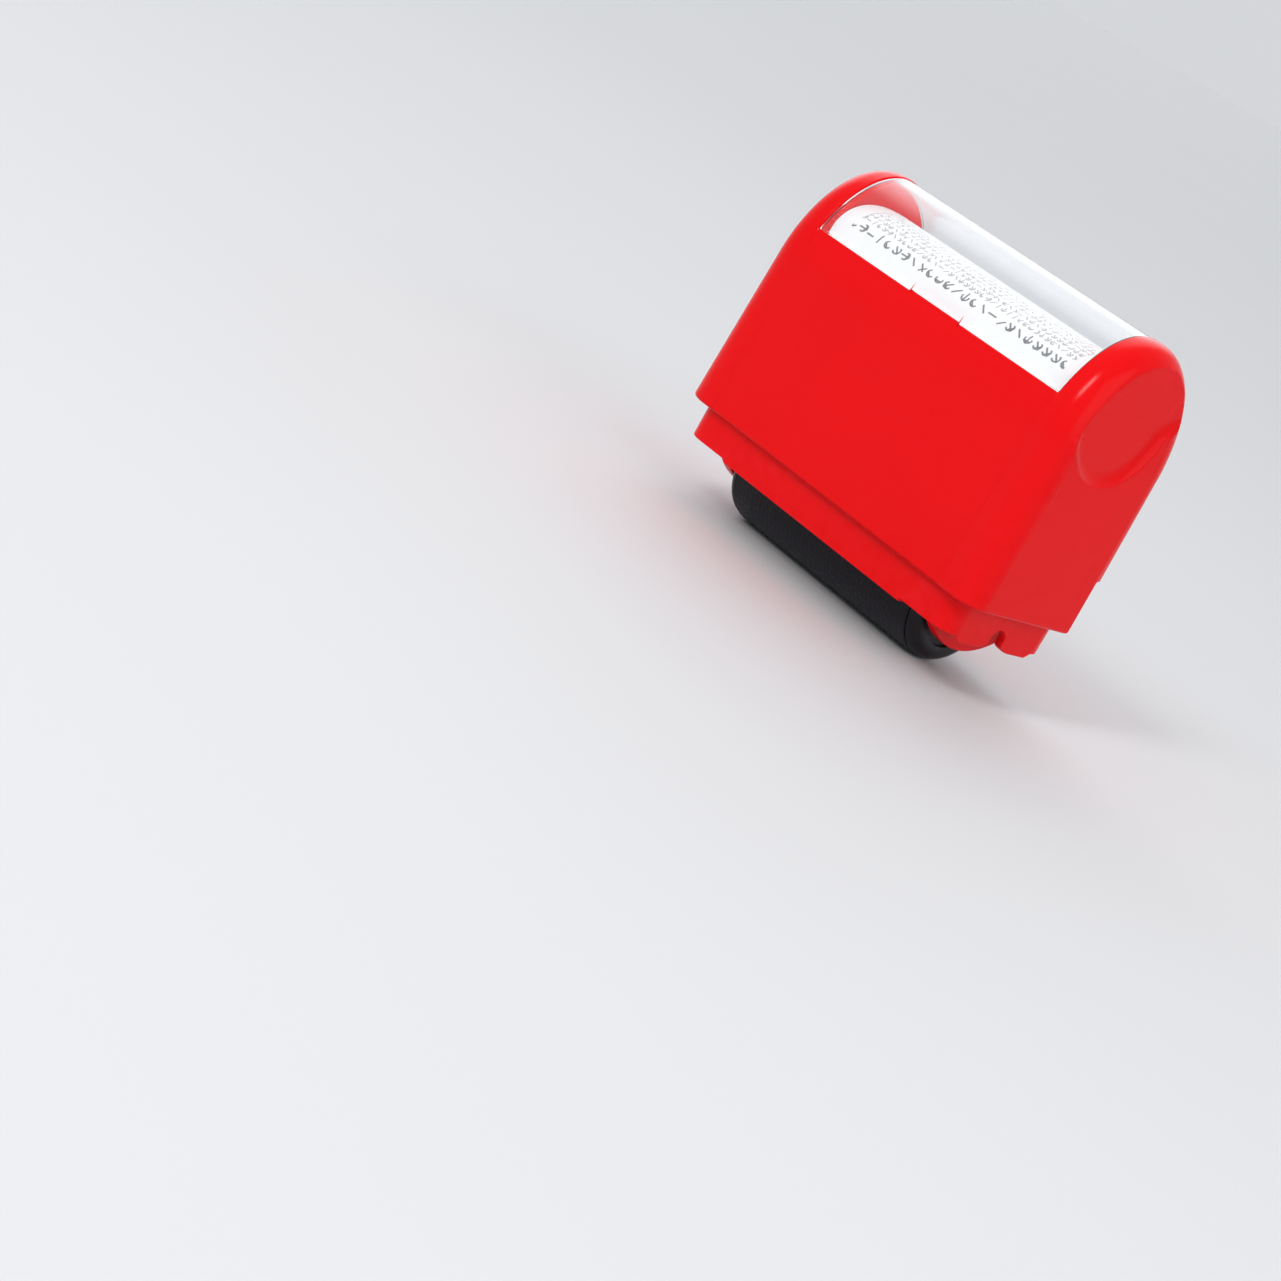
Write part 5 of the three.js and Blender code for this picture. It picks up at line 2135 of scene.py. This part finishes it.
@dataclass
class InkTank:
    """The ink tank with its lid, the felt that holds the ink, the wick and the filler plug."""

    half: Pair = (21.35, 9.8)
    base: float = 28.4
    top: float = 38.0
    wall: float = 1.2
    floor: float = 1.2
    corner: float = 2.0
    inner_corner: float = 1.4
    edge: float = 0.15
    flange: Pair = (27.4, 11.2)
    flange_corner: float = 3.2
    flange_height: Pair = (30.3, 31.5)
    tongue_half: float = 1.9
    tongue_base: float = 24.9
    wick_slot: Pair = (18.3, 1.6)
    lid: Pair = (38.3, 39.5)
    rim: Pair = (19.85, 8.3)
    rim_corner: float = 1.4
    rim_room: Pair = (18.85, 7.3)
    rim_room_corner: float = 0.7
    rim_depth: float = 1.0
    rim_lap: float = 0.6
    filler: Pair = (-10.3, 0.0)
    neck: Pair = (4.0, 40.9)
    neck_lap: float = 0.5
    neck_bore: float = 2.6
    plug_base: float = 41.2
    plug_top: float = 42.4
    stem_radius: float = 2.3
    stem_length: float = 3.3
    head_radius: float = 4.2
    plug_chamfer: float = 0.25
    plug_edge: float = 0.06
    tab_reach: float = 5.8
    tab_half: float = 2.3
    tab_corner: float = 1.4
    tab_thickness: float = 1.0
    ridge_halves: tuple[float, ...] = (1.3, 1.7, 1.7)
    ridge_start: float = 0.35
    ridge_spacing: float = 0.45
    ridge_width: float = 0.2
    ridge_height: Pair = (0.8, 1.15)
    felt_half: Pair = (19.55, 8.0)
    felt_corner: float = 1.0
    felt_height: Pair = (29.9, 37.0)
    felt_edge: float = 0.5
    felt_unevenness: float = 0.22
    wick_half: Pair = (18.0, 1.3)
    wick_corner: float = 0.5
    wick_height: Pair = (28.2, 29.6)
    wick_edge: float = 0.25
    wick_unevenness: float = 0.08
    felt_mesh: float = 0.35
    felt_tufts: float = 1.6
    corner_angle: float = 40.0

    def tank(self) -> Piece:
        """Builds the tank: an open box on a wide flange, with a wick slot and two tongues."""
        long, deep = self.half
        tank = Bench.plate("tank_body", self.flange, self.flange_corner, *self.flange_height)
        box = Bench.plate("tank_box", self.half, self.corner, self.base, self.top)
        Bench.join(tank, box)
        across = self.tongue_half
        for end in End:
            start, stop = sorted(end.value * place for place in CHEEK)
            tongue = Bench.block(
                "tongue", (start, -across, self.tongue_base), (stop, across, self.flange_height[1])
            )
            Bench.join(tank, tongue)
        room = Bench.plate(
            "tank_room", (long - self.wall, deep - self.wall), self.inner_corner,
            self.base + self.floor, self.top + PAST_LEVEL,
        )
        Bench.take(tank, room)
        along, across = self.wick_slot
        low = self.base - PAST_LEVEL
        slot = Bench.block("slot_tool", (-along, -across, low), (along, across, self.top))
        Bench.take(tank, slot)
        Bench.soften(tank, self.edge)
        return tank

    def neck_round(self, name: str, radius: float, start: float, stop: float) -> Piece:
        """Makes an upright round body at the filler's place, for the neck or its bore."""
        return Bench.prism(name, circle(self.filler, radius, 60), Along.Z, start, stop)

    def cover(self) -> Piece:
        """Builds the lid: a plate with a rim inside the tank and a neck for the plug."""
        low, high = self.lid
        plate = Bench.plate("tank_cover", self.half, self.corner, low, high)
        rim = Bench.plate(
            "rim", self.rim, self.rim_corner, low - self.rim_depth, low + self.rim_lap
        )
        room = Bench.plate(
            "rim_room", self.rim_room, self.rim_room_corner, low - PAST_LEVEL, low
        )
        Bench.take(rim, room)
        Bench.join(plate, rim)
        radius, top = self.neck
        neck = self.neck_round("neck", radius, low + self.neck_lap, top)
        Bench.join(plate, neck)
        bore = self.neck_round("bore_tool", self.neck_bore, self.base, top + PAST_LEVEL)
        Bench.take(plate, bore)
        Bench.soften(plate, self.edge)
        return plate

    def plug(self) -> Piece:
        """Builds the filler plug: a stopper turned about its stem, with a ribbed finger tab."""
        base, top, chamfer = self.plug_base, self.plug_top, self.plug_chamfer
        stem, head, foot = self.stem_radius, self.head_radius, base - self.stem_length
        profile = [
            (0.0, foot), (stem - chamfer, foot), (stem, foot + chamfer), (stem, base),
            (head, base), (head, top - chamfer), (head - chamfer, top), (0.0, top),
        ]
        stopper = Bench.turned(
            "filler_plug", profile, Along.Z, centre=self.filler, steps=64
        )
        middle, half, corner = self.filler[0], self.tab_half, self.tab_corner
        left = middle - self.tab_reach
        outline = [
            (middle, -half), (middle, half),
            *arc((left + corner, half - corner), corner, 90, 180, 8),
            *arc((left + corner, corner - half), corner, 180, 270, 8),
        ]
        tab = Bench.prism("tab", outline, Along.Z, base, base + self.tab_thickness)
        Bench.join(stopper, tab)
        low, high = (base + height for height in self.ridge_height)
        for row, across in enumerate(self.ridge_halves):
            place = left + self.ridge_start + self.ridge_spacing * row
            ridge = Bench.block(
                "ridge", (place, -across, low), (place + self.ridge_width, across, high)
            )
            Bench.join(stopper, ridge)
        Bench.soften(stopper, self.plug_edge, segments=2)
        return stopper

    def felt(self) -> Piece:
        """Builds the felt block that fills the tank."""
        felt = Bench.plate(
            "ink_felt_block", self.felt_half, self.felt_corner, *self.felt_height
        )
        self.make_soft(felt, self.felt_edge, self.felt_unevenness)
        return felt

    def wick(self) -> Piece:
        """Builds the felt wick that stands in the tank's slot."""
        wick = Bench.plate("ink_wick", self.wick_half, self.wick_corner, *self.wick_height)
        self.make_soft(wick, self.wick_edge, self.wick_unevenness)
        return wick

    def make_soft(self, piece: Piece, edge: float, depth: float) -> None:
        """Rounds a block of felt, gives it a fine mesh and makes its faces uneven.

        Args:
            piece: The block.
            edge: Radius of its rounded edges.
            depth: How uneven it is.
        """
        Bench.apply(
            piece, "BEVEL", width=edge * MM, segments=4, limit_method="ANGLE",
            angle_limit=math.radians(self.corner_angle),
        )
        Bench.apply(piece, "REMESH", mode="VOXEL", voxel_size=self.felt_mesh * MM)
        Bench.roughen(piece, depth, self.felt_tufts)
        Bench.settle(piece)
        Bench.shade(piece, SOFT_ANGLE)

    def dress(self) -> None:
        """Builds the tank's pieces and hands them over."""
        body = Body.FRAME
        hand_over(self.tank(), TANK_PLASTIC, body, "ink_tank")
        hand_over(self.cover(), TANK_PLASTIC, body, "tank_lid")
        hand_over(self.plug(), PLUG_RUBBER, Body.PLUG, "refill_plug")
        hand_over(self.felt(), FELT, body, "reservoir_felt")
        hand_over(self.wick(), FELT, body, "feed_wick")


@dataclass(frozen=True)
class Lamp:
    """A soft lamp that is aimed at the stamp; its size is its width and its height."""

    name: str
    place: Triple
    size: Pair
    watts: float
    aim: Triple = (0.0, 0.0, 0.03)

    def hang(self) -> None:
        """Adds the lamp to the scene."""
        Bench.clear()
        bpy.ops.object.light_add(type="AREA", location=self.place)
        lamp = bpy.context.object
        lamp.name = self.name
        lamp.data.shape = "RECTANGLE"
        lamp.data.size, lamp.data.size_y = self.size
        lamp.data.energy = self.watts
        toward = Vector(self.aim) - Vector(self.place)
        lamp.rotation_euler = toward.to_track_quat("-Z", "Y").to_euler()


@dataclass
class Studio:
    """The pale floor, the pale world with one brighter side, the soft lamps and the camera."""

    floor_size: float = 60.0
    floor_tone: tuple[Colour, Colour] = ((0.62, 0.62, 0.625, 1.0), (0.64, 0.64, 0.645, 1.0))
    world_tone: Colour = (0.93, 0.95, 0.98, 1.0)
    far_tone: Colour = (0.66, 0.674, 0.698, 1.0)
    world_strength: Pair = (0.74, 2.6)
    bright_side: Triple = (-0.61, 0.5, 0.6)
    bright_edge: Pair = (0.8, 0.97)
    lamps: tuple[Lamp, ...] = (
        Lamp("key_lamp", (0.028, -0.68, 0.6), (0.16, 0.3), 2.6),
        Lamp("end_lamp", (0.68, -0.12, 0.35), (0.6, 0.6), 1.1),
    )
    focal_share: float = 2871.87 / 1281
    sensor: float = 36.0
    eye: Triple = (0.23912475, -0.32376697, 0.08647651)
    right: Triple = (0.59326222, 0.65018956, 0.4746509)
    down: Triple = (0.52238027, 0.13768504, -0.84152343)
    forward: Triple = (-0.61250208, 0.74719232, -0.25796286)

    def lay_floor(self) -> None:
        """Lays the floor and gives it its pale, slightly cloudy finish."""
        Bench.clear()
        bpy.ops.mesh.primitive_plane_add(size=self.floor_size)
        floor = bpy.context.object
        floor.name = "floor"
        material = bpy.data.materials.new("pale_floor")
        material.use_nodes = True
        material.node_tree.nodes.clear()
        wiring = Wiring(material.node_tree)
        place = wiring.node("ShaderNodeTexCoord").outputs["Object"]
        cloud = wiring.noise(place, 3.0, 2.0)
        tone = wiring.blend(cloud, *self.floor_tone)
        shader = wiring.node(
            "ShaderNodeBsdfPrincipled",
            {"Base Color": tone, "Roughness": 0.7, "Specular IOR Level": 0.1},
        )
        wiring.node("ShaderNodeOutputMaterial", {"Surface": shader.outputs[0]})
        floor.data.materials.append(material)

    def light(self) -> None:
        """Lights the scene with a pale world, brighter behind on the left, and soft lamps."""
        world = bpy.data.worlds.new("pale_room")
        world.use_nodes = True
        world.node_tree.nodes.clear()
        wiring = Wiring(world.node_tree)
        outward = wiring.node("ShaderNodeTexCoord").outputs["Generated"]
        toward = wiring.node(
            "ShaderNodeVectorMath",
            {0: outward, 1: Vector(self.bright_side).normalized()},
            operation="DOT_PRODUCT",
        ).outputs["Value"]
        side = wiring.fade(toward, *self.bright_edge)
        room = wiring.node(
            "ShaderNodeBackground",
            {"Color": self.world_tone, "Strength": wiring.spread(side, *self.world_strength)},
        )
        far = wiring.node("ShaderNodeBackground", {"Color": self.far_tone, "Strength": 1.0})
        path = wiring.node("ShaderNodeLightPath").outputs
        seen = wiring.math("MAXIMUM", path["Is Camera Ray"], path["Is Transmission Ray"])
        both = wiring.node(
            "ShaderNodeMixShader", {0: seen, 1: room.outputs[0], 2: far.outputs[0]}
        )
        wiring.node("ShaderNodeOutputWorld", {"Surface": both.outputs[0]})
        bpy.context.scene.world = world
        for lamp in self.lamps:
            lamp.hang()

    def place_camera(self) -> None:
        """Places the camera at the photograph's viewing angle."""
        Bench.clear()
        bpy.ops.object.camera_add()
        camera = bpy.context.object
        camera.name = "camera"
        right, up, back = Vector(self.right), -Vector(self.down), -Vector(self.forward)
        turn = Matrix((right, up, back)).transposed().to_4x4()
        camera.matrix_world = Matrix.Translation(self.eye) @ turn
        camera.data.sensor_fit = "HORIZONTAL"
        camera.data.sensor_width = self.sensor
        camera.data.lens = self.sensor * self.focal_share
        camera.data.clip_start = 0.01
        camera.data.clip_end = 100.0
        bpy.context.scene.camera = camera

    def set_up(self) -> None:
        """Sets up the whole studio."""
        bpy.context.scene.view_settings.view_transform = "Standard"
        self.place_camera()
        self.lay_floor()
        self.light()


def main() -> None:
    """Builds the stamp and its studio."""
    logging.basicConfig(level=logging.INFO, format="%(message)s")
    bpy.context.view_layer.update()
    Studio().set_up()
    for assembly in (
        Casing(),
        Window(),
        InnerFrame(),
        PrintingRoller(),
        InkRoller(),
        Bush("roller_bush", "die_bush", ROLLER_HEIGHT, 1.55, 2.4, 3.6),
        Bush("spindle_bush", "ink_bush", INKER_HEIGHT, 1.3, 1.9, 2.9),
        InkTank(),
    ):
        LOG.info("building the %s", type(assembly).__name__)
        assembly.dress()
    Bench.clear()


if __name__ == "__main__":
    main()
